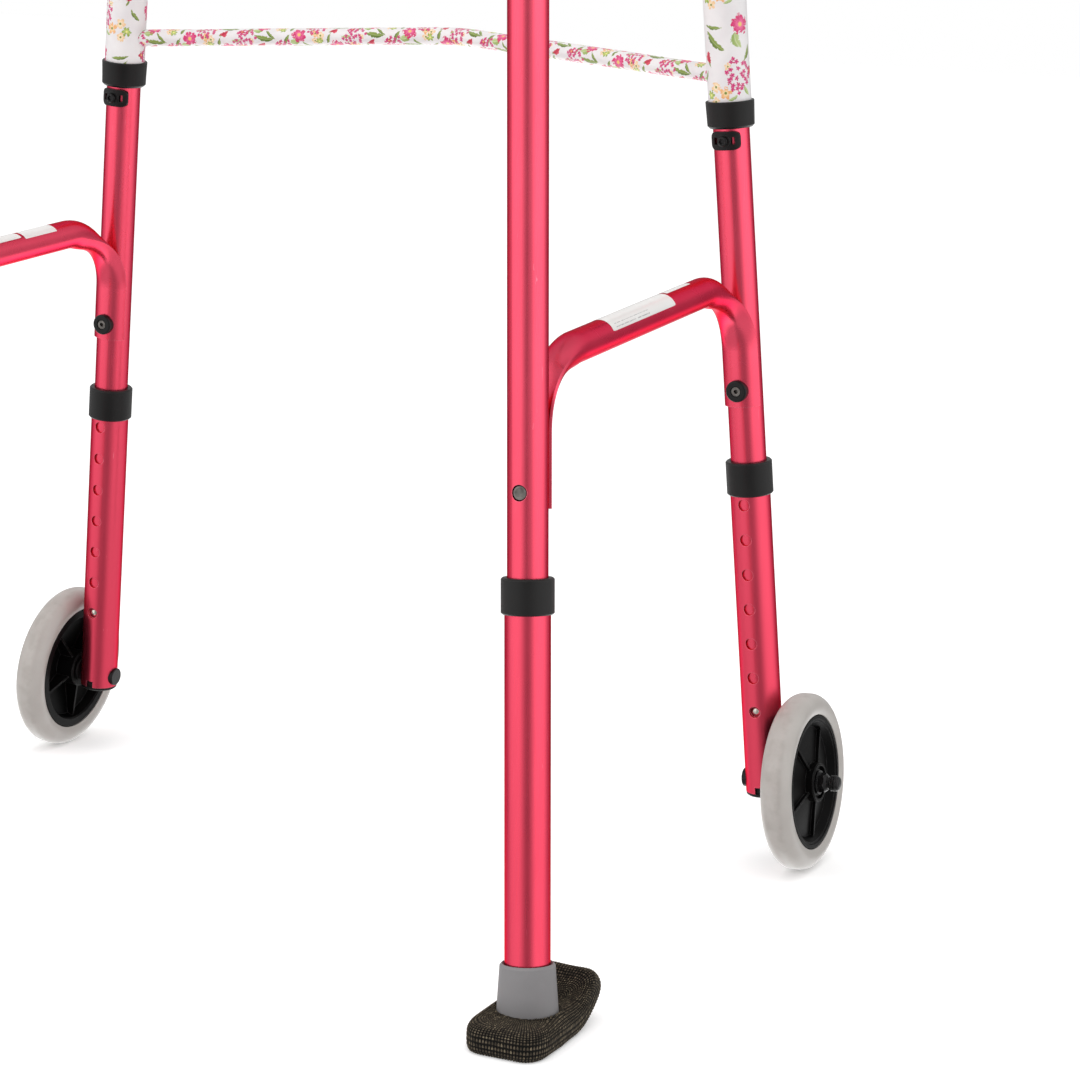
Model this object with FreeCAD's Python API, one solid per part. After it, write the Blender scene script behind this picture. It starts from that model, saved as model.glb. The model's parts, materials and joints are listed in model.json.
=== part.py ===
import FreeCAD, Part
import math
import os

from FreeCAD import Placement, Rotation, Vector

# A folding front wheeled walker. Millimetres, +Z up, +Y the way it travels, +X the user's right.
# The origin is on the floor, in the middle of the whole walker's footprint.
# The right side is modelled, and the left side is its mirror image.

# ---- driving dimensions ----

# stance of the two side frames
HALF_TRACK = 289.8        # from the middle to a leg's axis, at the floor
LEG_SPREAD = 411.8        # from the front leg's axis to the rear leg's axis, at the floor
SIDE_LEAN = 4.63          # degrees that a side frame leans inward
FRONT_LEAN = 3.23         # degrees that the front leg leans back, going up
REAR_LEAN = 5.79          # degrees that the rear leg leans forward, going up
HANDLE_HEIGHT = 813.0     # top of the hand grip, at the lowest leg setting

# tubes
TUBE_R = 12.7             # 1 inch side frame tube
TUBE_WALL = 1.5
EXTENSION_R = 14.3        # 1 1/8 inch leg extension, outside the frame tube
RUNNING_GAP = 0.1         # radial, between a tube and what slides or turns on it
HANDLE_BEND_R = 64.0
SEAT_GAP = 0.05           # radial, between parts that sit on each other
HAIR_GAP = 0.02           # radial, between a part and the hole it is pressed into

# hand grip
GRIP_R = 16.5
GRIP_LENGTH = 128.0
GRIP_FLANGE_R = 19.0

# leg height adjustment, measured along a leg from the floor
HOLE_PITCH = 25.4
HOLE_COUNT = 7
HOLE_R = 4.25
FRONT_BUTTON_S = 115.2    # the snap button sits in the lowest hole
REAR_BUTTON_S = 103.4
TUBE_BELOW_BUTTON = 25.0
FRONT_EXTENSION_FOOT = 53.2
REAR_EXTENSION_FOOT = 10.0
FRONT_COLLAR = (273.6, 297.8)
REAR_COLLAR = (261.8, 284.2)
COLLAR_R = 16.5
COLLAR_LIP = 3.0

# side brace
BRACE_R = 10.5
BRACE_WALL = 1.2
BRACE_BEND_R = 50.0
BRACE_REAR_POINT = (-265.6, 415.3)   # two points of the brace's straight part, in the side frame
BRACE_FRONT_POINT = (-115.0, 423.1)
SADDLE_WALL = 1.9                    # a flattened end: two walls pressed together
SADDLE_HALF_ANGLE = 67.0
FLATTEN_ANGLE = 74.0                 # how far round the bend the tube is round again
FRONT_SADDLE_FOOT = 338.2
REAR_SADDLE_FOOT = 325.9
FRONT_SCREW_S = 350.1
REAR_SCREW_S = 336.2

# fasteners of the side frame
BARREL_R = 3.25
REAR_BARREL_R = 4.25
FRONT_SCREW_R = 2.0
REAR_SCREW_R = 2.5
STOP_SCREW_R = 2.5
WASHER_R = 7.75

# snap buttons
BUTTON_R = 3.6
BUTTON_DOME_R = 4.6
BUTTON_BASE = 7.9         # from the leg's axis out to the button's base
BUTTON_BASE_R = 4.1

# front frame
SLEEVE_R = 15.0
SLEEVE_BORE_R = 13.4
SLEEVE = (550.6, 713.0)
SLEEVE_COLLAR_R = 17.0
SLEEVE_COLLAR_HEIGHT = 17.4
SPIGOT_LENGTH = 14.0
LOWER_BAR_S = 568.6
UPPER_BAR_S = 696.0
BAR_BOW = 67.7            # how far the middle of a cross bar stands ahead of its ends
BAR_RISE = 11.9           # how far it stands above them
LOWER_BAR_HALF = (9.0, 6.4)
UPPER_BAR_R = 11.1
UPPER_BAR_WALL = 1.5
BAR_BEND_R = 60.0
STOP_CLIP_S = 525.2
CLIP_HALF = (10.6, 6.4)   # half its width and half its height
CLIP_BOSS_STANDS = 4.3    # how far the clip's boss stands out of the leg

# latch: distances along the upper cross bar, from the leg's axis
PLUNGER_R = 4.0
PLUNGER_TRAVEL = 5.5
PLUNGER_CLEARS = 0.8      # from the leg's outside to the tip of a drawn plunger
PADDLE_AT = 95.0
PADDLE_ARM = 18.0         # from the paddle's pin down to the plunger's axis
PADDLE_RISE = 28.0        # degrees that the paddle stands up at rest
GUIDES = ((22.0, 30.0), (72.0, 80.0))
SHOULDER = (41.0, 44.0)
SHOULDER_R = 7.2
HEAD = (86.0, 104.0)
HEAD_R = 6.5
FINGER_R = 3.1
FINGER_WIDTH = 6.4
NOTCH_FLARE = 1.6         # more room in the notch above the tip, where the pressed finger leans
FLARE_FROM = 2.0          # above the plunger's axis
PIN_R = 2.0
EAR_GAP = 9.6
EAR_THICKNESS = 3.0
FOLD_SLOT_ANGLE = 138.0   # the leg's keeper hole, drawn out over the fold
FOLD_SLOT_LEAD = 24.0     # how far the slot runs past the plunger, the other way

# wheel
WHEEL_R = 63.5
WHEEL_OFFSET = 29.0       # from the leg's axis out to the wheel's middle
TYRE_HALF_WIDTH = 11.0
TYRE_CORNER_R = 9.0
RIM_R = 48.7
RIM_HALF_WIDTH = 9.8
RIM_SEAT_R = 45.0
BOSS_R = 14.2
BOSS_BORE_R = 8.0
BOSS_OUT = 13.2           # the boss's ends and its outer recess, from the wheel's middle
BOSS_IN = -13.0
BOSS_RECESS = 10.0
AXLE_R = 4.0
RIB_COUNT = 5
RIB_THICKNESS = 1.6
FIRST_RIB = 36.0          # degrees forward of straight up
NUT = (11.6, 19.4)        # where the nuts start and end, from the wheel's middle
CAP = (21.4, 28.8)

# glide
CUP_TOP = 46.6
CUP_TOP_R = 17.3
CUP_FOOT_R = 20.2
SKI_HALF_WIDTH = 26.5
SKI_REAR = 43.0           # from the leg's axis back to the cover's end
SKI_FLAT = 12.0           # from the leg's axis forward to where the toe turns up
TOE_BEND_R = 46.0
TOE_ANGLE = 59.0
COVER_THICKNESS = 18.0
COVER_WALL = 2.6
COVER_GAP = 0.2
SOLE_DIP = 0.6            # how far the rounded sole is cut back to stand flat

# ---- worked out from the driving dimensions ----

FRONT_COS = math.cos(math.radians(FRONT_LEAN))
SIDE_COS = math.cos(math.radians(SIDE_LEAN))
SIDE_SIN = math.sin(math.radians(SIDE_LEAN))
TUBE_BORE_R = TUBE_R - TUBE_WALL
EXTENSION_BORE_R = TUBE_R + RUNNING_GAP
GRIP_AXIS_H = (HANDLE_HEIGHT - GRIP_R) / SIDE_COS
BRACE_OFFSET = TUBE_R + BRACE_R + SEAT_GAP
SADDLE_OUT = TUBE_R + SEAT_GAP + SADDLE_WALL
CLIP_OUT = TUBE_R + CLIP_BOSS_STANDS
BUTTON_TIP = EXTENSION_BORE_R - SEAT_GAP
PLUNGER_TIP = TUBE_R + PLUNGER_CLEARS - PLUNGER_TRAVEL

# the wheel stands on the floor although it leans with the side frame
TYRE_SIDE = TYRE_HALF_WIDTH - TYRE_CORNER_R
WHEEL_CENTRE_Z = (WHEEL_R - TYRE_CORNER_R) * SIDE_COS + TYRE_SIDE * SIDE_SIN + TYRE_CORNER_R
AXLE_S = (WHEEL_CENTRE_Z - WHEEL_OFFSET * SIDE_SIN) / (SIDE_COS * FRONT_COS)

# the footprint's middle is the origin
WHEEL_FRONT = WHEEL_R - AXLE_S * math.sin(math.radians(FRONT_LEAN))
FRONT_LEG_Y = (LEG_SPREAD + SKI_REAR - WHEEL_FRONT) / 2

SIDE_FRAME = Placement(Vector(HALF_TRACK, FRONT_LEG_Y, 0), Rotation(Vector(0, 1, 0), -SIDE_LEAN))
FRONT_LEG = SIDE_FRAME.multiply(
    Placement(Vector(0, 0, 0), Rotation(Vector(1, 0, 0), FRONT_LEAN))
)
REAR_LEG = SIDE_FRAME.multiply(
    Placement(Vector(0, -LEG_SPREAD, 0), Rotation(Vector(1, 0, 0), -REAR_LEAN))
)

UP = Vector(0, 0, 1)
OUTWARD = Vector(1, 0, 0)
AHEAD = Vector(0, 1, 0)


# ---- helpers ----


def placed(shape, placement):
    """A copy of a shape, moved from a local frame into the walker's frame."""
    moved = shape.copy()
    moved.Placement = placement.multiply(shape.Placement)
    return moved


def mirrored(shape):
    """The left side's copy of a right side shape."""
    return shape.mirror(Vector(0, 0, 0), OUTWARD)


def rod(radius, start, end):
    """A round bar between two points."""
    return Part.makeCylinder(radius, (end - start).Length, start, end - start)


def pipe(outer_r, inner_r, low, high):
    """A straight tube about the local Z axis."""
    length = high - low
    outer = Part.makeCylinder(outer_r, length, Vector(0, 0, low))
    return outer.cut(Part.makeCylinder(inner_r, length, Vector(0, 0, low)))


def turned(points, axis=UP):
    """A solid turned about an axis from an outline of (radius, height) points."""
    if axis == UP:
        outline = [Vector(r, 0, h) for r, h in points]
    else:
        outline = [Vector(h, 0, r) for r, h in points]
    face = Part.Face(Part.makePolygon(outline + outline[:1]))
    return face.revolve(Vector(0, 0, 0), axis, 360)


def arc_band(inner_r, outer_r, half_angle, low, high, middle=90.0):
    """Part of a tube wall about the local Z axis, centred on an angle from +X."""
    height = high - low
    wedge = Part.makeCylinder(outer_r, height, Vector(0, 0, low), UP, 2 * half_angle)
    wedge.rotate(Vector(0, 0, 0), UP, middle - half_angle)
    return wedge.cut(Part.makeCylinder(inner_r, height + 2, Vector(0, 0, low - 1)))


def bend(before, corner, after, radius):
    """The tangent points, middle point and centre of an arc that rounds a corner."""
    u = (before - corner).normalize()
    v = (after - corner).normalize()
    half = u.getAngle(v) / 2
    reach = radius / math.tan(half)
    middle_way = (u + v).normalize()
    centre = corner + middle_way * (radius / math.sin(half))
    return corner + u * reach, centre - middle_way * radius, corner + v * reach, centre


def rounded_path(points, radius):
    """A wire through points, with each corner rounded."""
    edges = []
    start = points[0]
    for before, corner, after in zip(points, points[1:], points[2:]):
        first, middle, last, _ = bend(before, corner, after, radius)
        edges.append(Part.LineSegment(start, first).toShape())
        edges.append(Part.Arc(first, middle, last).toShape())
        start = last
    edges.append(Part.LineSegment(start, points[-1]).toShape())
    return Part.Wire(edges)


def swept_circle(path, radius):
    """A solid round bar along a wire."""
    edge = path.OrderedEdges[0]
    circle = Part.Circle(edge.valueAt(edge.FirstParameter), edge.tangentAt(edge.FirstParameter), radius)
    return path.makePipeShell([Part.Wire(circle.toShape())], True, False)


def side_point(y, h):
    """A point in the side frame's plane."""
    return Vector(0, y, h)


def front_leg_point(s, offset=0.0):
    """A point in the side frame, s along the front leg and offset ahead of its axis."""
    lean = math.radians(FRONT_LEAN)
    return side_point(
        -s * math.sin(lean) + offset * math.cos(lean),
        s * math.cos(lean) + offset * math.sin(lean),
    )


def rear_leg_point(s, offset=0.0):
    """A point in the side frame, s along the rear leg and offset ahead of its axis."""
    lean = math.radians(REAR_LEAN)
    return side_point(
        -LEG_SPREAD + s * math.sin(lean) + offset * math.cos(lean),
        s * math.cos(lean) - offset * math.sin(lean),
    )


def crossing(a, b, c, d):
    """Where the line a-b meets the line c-d, in the side frame's plane."""
    u = b - a
    v = d - c
    w = c - a
    t = (w.y * v.z - w.z * v.y) / (u.y * v.z - u.z * v.y)
    return a + u * t


# ---- side frame ----


def handle_corners():
    """Where the two legs' axes meet the hand grip's axis."""
    left = side_point(-LEG_SPREAD, GRIP_AXIS_H)
    right = side_point(0, GRIP_AXIS_H)
    front = crossing(left, right, front_leg_point(0), front_leg_point(100))
    rear = crossing(left, right, rear_leg_point(0), rear_leg_point(100))
    return front, rear


def side_tube():
    """The bent tube that is both legs and the handle."""
    front, rear = handle_corners()
    path = rounded_path(
        [
            front_leg_point(FRONT_BUTTON_S - TUBE_BELOW_BUTTON),
            front,
            rear,
            rear_leg_point(REAR_BUTTON_S - TUBE_BELOW_BUTTON),
        ],
        HANDLE_BEND_R,
    )
    tube = placed(swept_circle(path, TUBE_R).cut(swept_circle(path, TUBE_BORE_R)), SIDE_FRAME)
    wall = TUBE_R + 2
    front_holes = [
        rod(BUTTON_R + 0.2, Vector(0, 0, FRONT_BUTTON_S), Vector(0, -wall, FRONT_BUTTON_S)),
        rod(BARREL_R + SEAT_GAP, Vector(0, -wall, FRONT_SCREW_S), Vector(0, wall, FRONT_SCREW_S)),
        rod(STOP_SCREW_R + SEAT_GAP, Vector(0, -wall, STOP_CLIP_S), Vector(0, 0, STOP_CLIP_S)),
    ]
    rear_holes = [
        rod(BUTTON_R + 0.2, Vector(0, 0, REAR_BUTTON_S), Vector(0, wall, REAR_BUTTON_S)),
        rod(REAR_BARREL_R + 0.75, Vector(0, -wall, REAR_SCREW_S), Vector(0, 0, REAR_SCREW_S)),
        rod(REAR_BARREL_R + SEAT_GAP, Vector(0, 0, REAR_SCREW_S), Vector(0, wall, REAR_SCREW_S)),
    ]
    for hole in front_holes:
        tube = tube.cut(placed(hole, FRONT_LEG))
    for hole in rear_holes:
        tube = tube.cut(placed(hole, REAR_LEG))
    return tube.cut(keeper_slot())


def keeper_slot():
    """The slot in the front leg that the latch plunger stands in as the side frame folds."""
    toward = FRONT_LEG.inverse().multVec(BAR_FRAME.multVec(Vector(100, 0, 0)))
    toward = toward - Vector(0, 0, UPPER_BAR_S)
    start = math.degrees(math.atan2(toward.y, toward.x)) - FOLD_SLOT_LEAD
    middle = UPPER_BAR_S + TUBE_R * toward.z / math.hypot(toward.x, toward.y)
    half_height = PLUNGER_R + 1.0
    slot = arc_band(
        TUBE_BORE_R - 2,
        TUBE_R + 2,
        FOLD_SLOT_ANGLE / 2,
        middle - half_height,
        middle + half_height,
        start + FOLD_SLOT_ANGLE / 2,
    )
    return placed(slot, FRONT_LEG)


def hand_grip():
    """A moulded grip: a swelling body between two end flanges."""
    half = GRIP_LENGTH / 2
    bore = TUBE_R + SEAT_GAP
    lip = GRIP_FLANGE_R
    points = [(bore, -half), (lip - 0.5, -half), (lip, -half + 3), (lip - 1, -half + 6)]
    steps = 12
    for i in range(steps + 1):
        along = -half + 9 + (GRIP_LENGTH - 18) * i / steps
        sink = 0.9 * (1 - math.cos(math.pi * along / (GRIP_LENGTH - 18)))
        points.append((GRIP_R - sink, along))
    points += [(lip - 1, half - 6), (lip, half - 3), (lip - 0.5, half), (bore, half)]
    grip = turned(points)
    front, rear = handle_corners()
    first = bend(front_leg_point(0), front, rear, HANDLE_BEND_R)[2]
    last = bend(front, rear, rear_leg_point(0), HANDLE_BEND_R)[0]
    to_axis = Placement((first + last) * 0.5, Rotation(UP, rear - front))
    return placed(placed(grip, to_axis), SIDE_FRAME)


def saddle_section(flat, direction, centre, toward_leg):
    """One cross-section of the brace: round where flat is 0, pressed round the leg where it is 1.

    direction is the frame's outward direction, and toward_leg points from the bend's centre.
    """
    inner = TUBE_R + SEAT_GAP
    outer = inner + SADDLE_WALL
    wrap = math.radians(SADDLE_HALF_ANGLE)
    split = math.radians(5.0)
    round_points = [
        (-BRACE_R * math.cos(split), -BRACE_R * math.sin(split)),
        (0, -BRACE_R),
        (BRACE_R * math.cos(split), -BRACE_R * math.sin(split)),
        (BRACE_R * math.cos(split), BRACE_R * math.sin(split)),
        (0, BRACE_R),
        (-BRACE_R * math.cos(split), BRACE_R * math.sin(split)),
    ]
    flat_points = [
        (-outer * math.sin(wrap), BRACE_OFFSET - outer * math.cos(wrap)),
        (0, BRACE_OFFSET - outer),
        (outer * math.sin(wrap), BRACE_OFFSET - outer * math.cos(wrap)),
        (inner * math.sin(wrap), BRACE_OFFSET - inner * math.cos(wrap)),
        (0, BRACE_OFFSET - inner),
        (-inner * math.sin(wrap), BRACE_OFFSET - inner * math.cos(wrap)),
    ]
    corners = []
    for (px, py), (fx, fy) in zip(round_points, flat_points):
        across = px + (fx - px) * flat
        near = py + (fy - py) * flat
        corners.append(centre + direction * across + toward_leg * (BRACE_BEND_R + near))
    a, b, c, d, e, f = corners
    edges = [
        Part.Arc(a, b, c).toShape(),
        Part.LineSegment(c, d).toShape(),
        Part.Arc(d, e, f).toShape(),
        Part.LineSegment(f, a).toShape(),
    ]
    return Part.Wire(edges)


def brace_end(before, corner, after, leg_axis, saddle):
    """The bend where the brace changes from a flat saddle on the leg to a round tube."""
    first, _, _, centre = bend(before, corner, after, BRACE_BEND_R)
    start = (first - centre).normalize()
    upward = (corner - first).normalize()
    sections = []
    stations = 12
    for i in range(stations + 1):
        share = i / stations
        angle = math.radians(FLATTEN_ANGLE) * share
        flat = 1 - share * share * (3 - 2 * share)
        radial = start * math.cos(angle) + upward * math.sin(angle)
        sections.append(saddle_section(flat, OUTWARD, centre, radial))
    morph = Part.makeLoft(sections, True, False)
    return morph.cut(leg_axis).fuse(saddle)


def side_brace():
    """The tube between the legs, with an end pressed flat round each leg and screwed to it."""
    level_a = side_point(*BRACE_REAR_POINT)
    level_b = side_point(*BRACE_FRONT_POINT)
    front_low = front_leg_point(200, -BRACE_OFFSET)
    rear_low = rear_leg_point(200, BRACE_OFFSET)
    front = crossing(level_a, level_b, front_low, front_leg_point(300, -BRACE_OFFSET))
    rear = crossing(level_a, level_b, rear_low, rear_leg_point(300, BRACE_OFFSET))
    front_bend = bend(front_low, front, rear, BRACE_BEND_R)
    rear_bend = bend(rear_low, rear, front, BRACE_BEND_R)
    keep_out = TUBE_R + SEAT_GAP
    parts = []
    for low, corner, far, bent, leg_point, band_angle, foot in (
        (front_low, front, rear, front_bend, front_leg_point, -90.0, FRONT_SADDLE_FOOT),
        (rear_low, rear, front, rear_bend, rear_leg_point, 90.0, REAR_SADDLE_FOOT),
    ):
        lean = FRONT_LEAN if leg_point is front_leg_point else -REAR_LEAN
        to_leg = Placement(leg_point(0), Rotation(OUTWARD, lean))
        top = to_leg.inverse().multVec(bent[0]).z
        saddle = arc_band(
            keep_out, keep_out + SADDLE_WALL, SADDLE_HALF_ANGLE, foot, top, band_angle
        )
        saddle = placed(saddle, to_leg)
        leg_axis = rod(keep_out, leg_point(foot), leg_point(top + 60))
        parts.append(brace_end(low, corner, far, leg_axis, saddle))
    ends = []
    for first, _, last, centre in (front_bend, rear_bend):
        u = (first - centre).normalize()
        v = (last - centre).normalize()
        whole = u.getAngle(v)
        flatten = math.radians(FLATTEN_ANGLE)
        across = (v - u * math.cos(whole)).normalize()
        spots = [flatten, (flatten + whole) / 2, whole]
        ends.append([centre + (u * math.cos(t) + across * math.sin(t)) * BRACE_BEND_R for t in spots])
    path = Part.Wire(
        [
            Part.Arc(*ends[0]).toShape(),
            Part.LineSegment(ends[0][2], ends[1][2]).toShape(),
            Part.Arc(ends[1][2], ends[1][1], ends[1][0]).toShape(),
        ]
    )
    middle = swept_circle(path, BRACE_R).cut(swept_circle(path, BRACE_R - BRACE_WALL))
    brace = placed(middle.fuse(parts).removeSplitter(), SIDE_FRAME)
    reach = TUBE_R + 6
    front_hole = rod(
        BARREL_R + SEAT_GAP, Vector(0, -reach, FRONT_SCREW_S), Vector(0, 0, FRONT_SCREW_S)
    )
    rear_hole = rod(
        REAR_SCREW_R + RUNNING_GAP, Vector(0, 0, REAR_SCREW_S), Vector(0, reach, REAR_SCREW_S)
    )
    return brace.cut(placed(front_hole, FRONT_LEG)).cut(placed(rear_hole, REAR_LEG))


# ---- fasteners of the side frame ----


def hex_socket(across_flats, point, direction, depth):
    """A hexagonal recess, to be cut from a screw's head."""
    r = across_flats / math.sqrt(3)
    side = direction.cross(UP)
    up = side.cross(direction).normalize()
    side.normalize()
    corners = []
    for i in range(6):
        angle = math.radians(60 * i)
        corners.append(point + side * (r * math.cos(angle)) + up * (r * math.sin(angle)))
    face = Part.Face(Part.makePolygon(corners + corners[:1]))
    return face.extrude(direction * depth)


def brace_washer():
    """A plastic washer between the front saddle and the barrel nut's end."""
    start = Vector(0, -SADDLE_OUT - 3.2, FRONT_SCREW_S)
    washer = rod(WASHER_R, start, Vector(0, -TUBE_R + 4, FRONT_SCREW_S))
    rim = [e for e in washer.Edges if abs(e.CenterOfMass.y - start.y) < 0.01 and e.Length > 40]
    washer = washer.makeFillet(1.4, rim)
    washer = washer.cut(Part.makeCylinder(SADDLE_OUT + 0.01, 60, Vector(0, 0, FRONT_SCREW_S - 30)))
    recess = rod(BARREL_R + 0.9, start, start + Vector(0, 0.8, 0))
    bore = rod(BARREL_R + HAIR_GAP, start, Vector(0, 0, FRONT_SCREW_S))
    return placed(washer.cut(recess).cut(bore), FRONT_LEG)


def brace_barrels():
    """The two barrel nuts that the brace's screws turn into."""
    start = Vector(0, -SADDLE_OUT - 2.8, FRONT_SCREW_S)
    end = Vector(0, TUBE_R - 0.8, FRONT_SCREW_S)
    front = rod(BARREL_R, start, end)
    front = front.cut(rod(FRONT_SCREW_R, Vector(0, -8, FRONT_SCREW_S), end))
    front = front.cut(hex_socket(3.0, start, AHEAD, 2.6))
    start = Vector(0, -TUBE_R + 1.3, REAR_SCREW_S)
    end = Vector(0, TUBE_R - 1.0, REAR_SCREW_S)
    rear = rod(REAR_BARREL_R, start, end)
    rear = rear.cut(rod(REAR_SCREW_R, Vector(0, -4, REAR_SCREW_S), end))
    rear = rear.cut(Part.makeSphere(9.0, start - Vector(0, 8.4, 0)))
    return Part.makeCompound([placed(front, FRONT_LEG), placed(rear, REAR_LEG)])


def round_head_screw(shank_r, head_r, head_h, seat, end, seat_r):
    """A low round-headed screw, its head bedded on a cylinder of radius seat_r."""
    way = (end - seat).normalize()
    head = rod(head_r, seat - way * head_h, seat + way * 3)
    edge = [e for e in head.Edges if abs((e.CenterOfMass - seat).dot(way) + head_h) < 0.01]
    head = head.makeFillet(head_h * 0.6, [e for e in edge if e.Length > head_r])
    tall = Vector(0, 0, seat.z - 20)
    head = head.cut(Part.makeCylinder(seat_r, 40, tall))
    screw = head.fuse(rod(shank_r, seat, end))
    return screw.cut(hex_socket(shank_r * 1.6, seat - way * head_h, way, head_h * 0.9))


def side_screws():
    """The brace's two screws and the stop clip's screw."""
    front = round_head_screw(
        FRONT_SCREW_R,
        5.2,
        2.2,
        Vector(0, TUBE_R + SEAT_GAP, FRONT_SCREW_S),
        Vector(0, -6, FRONT_SCREW_S),
        TUBE_R + HAIR_GAP,
    )
    rear = round_head_screw(
        REAR_SCREW_R,
        6.0,
        2.4,
        Vector(0, SADDLE_OUT, REAR_SCREW_S),
        Vector(0, -2, REAR_SCREW_S),
        SADDLE_OUT + HAIR_GAP,
    )
    stop = round_head_screw(
        STOP_SCREW_R,
        3.5,
        1.6,
        Vector(0, -CLIP_OUT, STOP_CLIP_S),
        Vector(0, -TUBE_R + 5, STOP_CLIP_S),
        CLIP_OUT - 1.0 + HAIR_GAP,
    )
    return Part.makeCompound(
        [placed(front, FRONT_LEG), placed(rear, REAR_LEG), placed(stop, FRONT_LEG)]
    )


def stop_clip():
    """The clip under the front sleeve, which keeps the sleeve from dropping down the leg."""
    half_width, half_height = CLIP_HALF
    inner = TUBE_R + SEAT_GAP
    band = arc_band(
        inner, inner + 2.6, 48.0, STOP_CLIP_S - half_height, STOP_CLIP_S + half_height, -90.0
    )
    blank = Part.makeBox(
        2 * half_width, 12, 2 * half_height, Vector(-half_width, -20, STOP_CLIP_S - half_height)
    )
    corners = [e for e in blank.Edges if abs(e.tangentAt(e.FirstParameter).y) > 0.99]
    blank = blank.makeFillet(4.2, corners)
    clip = band.common(blank)
    boss = rod(4.6, Vector(0, -CLIP_OUT, STOP_CLIP_S), Vector(0, -TUBE_R + 3, STOP_CLIP_S))
    low = Vector(0, 0, STOP_CLIP_S - 20)
    boss = boss.common(Part.makeCylinder(CLIP_OUT - 1.0, 40, low))
    clip = clip.fuse(boss.cut(Part.makeCylinder(inner, 40, low)))
    window_wide = 2.6
    window_tall = 5.0
    for side in (-1, 1):
        corner = Vector(side * 6.4 - window_wide / 2, -20, STOP_CLIP_S - window_tall / 2)
        clip = clip.cut(Part.makeBox(window_wide, 10, window_tall, corner))
    hole = rod(STOP_SCREW_R + SEAT_GAP, Vector(0, -30, STOP_CLIP_S), Vector(0, 0, STOP_CLIP_S))
    return placed(clip.cut(hole).removeSplitter(), FRONT_LEG)


# ---- snap buttons ----


def snap_button(s, way):
    """A button on its base, facing along way from the leg's axis."""
    tip = 1.6
    straight = rod(BUTTON_R, way * BUTTON_BASE + UP * s, way * (BUTTON_TIP - HAIR_GAP) + UP * s)
    dome = Part.makeSphere(BUTTON_DOME_R, way * (BUTTON_TIP - BUTTON_DOME_R) + UP * s)
    button = straight.common(dome.fuse(rod(BUTTON_R + 1, UP * s, way * (BUTTON_TIP - tip) + UP * s)))
    base = rod(BUTTON_BASE_R, way * BUTTON_BASE + UP * s, way * (BUTTON_BASE + 1.0) + UP * s)
    return button.fuse(base).removeSplitter()


def snap_spring(s, way):
    """A folded strip of spring steel that holds a snap button out."""
    thick = 0.6
    width = 7.0
    drop = 22.0
    near = BUTTON_BASE
    far = 10.0
    outer = [(near, 6), (near, 0), (3.0, -drop + 3), (0, -drop), (-3.0, -drop + 3), (-far, 6)]
    inner = [(y - thick if y > 0 else y + thick, z) for y, z in outer]
    inner[3] = (0, -drop + 1.1)
    loop = outer + inner[::-1]
    points = [way * y + UP * (s + z) - OUTWARD * (width / 2) for y, z in loop]
    face = Part.Face(Part.makePolygon(points + points[:1]))
    return face.extrude(OUTWARD * width)


# ---- leg extensions ----


def leg_extension(foot, collar, button_s, way):
    """The lower tube of a leg, with its row of height holes facing along way."""
    tube = pipe(EXTENSION_R, EXTENSION_BORE_R, foot, collar[1] - COLLAR_LIP)
    for i in range(HOLE_COUNT):
        s = button_s + i * HOLE_PITCH
        tube = tube.cut(rod(HOLE_R, UP * s, way * (EXTENSION_R + 2) + UP * s))
    return tube


def leg_collar(collar):
    """The collar over the top of a leg extension, with a lip that guides the frame tube."""
    low, high = collar
    lip = high - COLLAR_LIP
    chamfer = 0.9
    points = [
        (EXTENSION_R, low),
        (COLLAR_R - chamfer, low),
        (COLLAR_R, low + chamfer),
        (COLLAR_R, high - chamfer),
        (COLLAR_R - chamfer, high),
        (EXTENSION_BORE_R, high),
        (EXTENSION_BORE_R, lip),
        (EXTENSION_R, lip),
    ]
    return turned(points)


def front_extension():
    """The front leg's lower tube, with a hole for the axle and a notch in its foot."""
    tube = leg_extension(FRONT_EXTENSION_FOOT, FRONT_COLLAR, FRONT_BUTTON_S, -AHEAD)
    reach = OUTWARD * (EXTENSION_R + 2)
    tube = tube.cut(rod(AXLE_R + RUNNING_GAP, UP * AXLE_S - reach, UP * AXLE_S + reach))
    notch = Part.makeBox(5.6, 10, 10, Vector(-2.8, -EXTENSION_R - 5, FRONT_EXTENSION_FOOT - 5))
    return placed(tube.cut(notch), FRONT_LEG)


def rear_extension():
    return placed(leg_extension(REAR_EXTENSION_FOOT, REAR_COLLAR, REAR_BUTTON_S, AHEAD), REAR_LEG)


def front_end_plug():
    """The plug that closes the front leg's foot."""
    top = AXLE_S - AXLE_R - 0.4
    foot = FRONT_EXTENSION_FOOT
    flange_r = EXTENSION_R - 0.2
    points = [
        (0, foot - 2.5),
        (flange_r - 0.9, foot - 2.5),
        (flange_r, foot - 1.6),
        (flange_r, foot),
        (EXTENSION_BORE_R, foot),
        (EXTENSION_BORE_R, top),
        (0, top),
    ]
    return placed(turned(points), FRONT_LEG)


# ---- wheel ----

# the wheel's own frame: +X along the axle, outward
WHEEL = FRONT_LEG.multiply(Placement(Vector(WHEEL_OFFSET, 0, AXLE_S), Rotation()))


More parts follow.
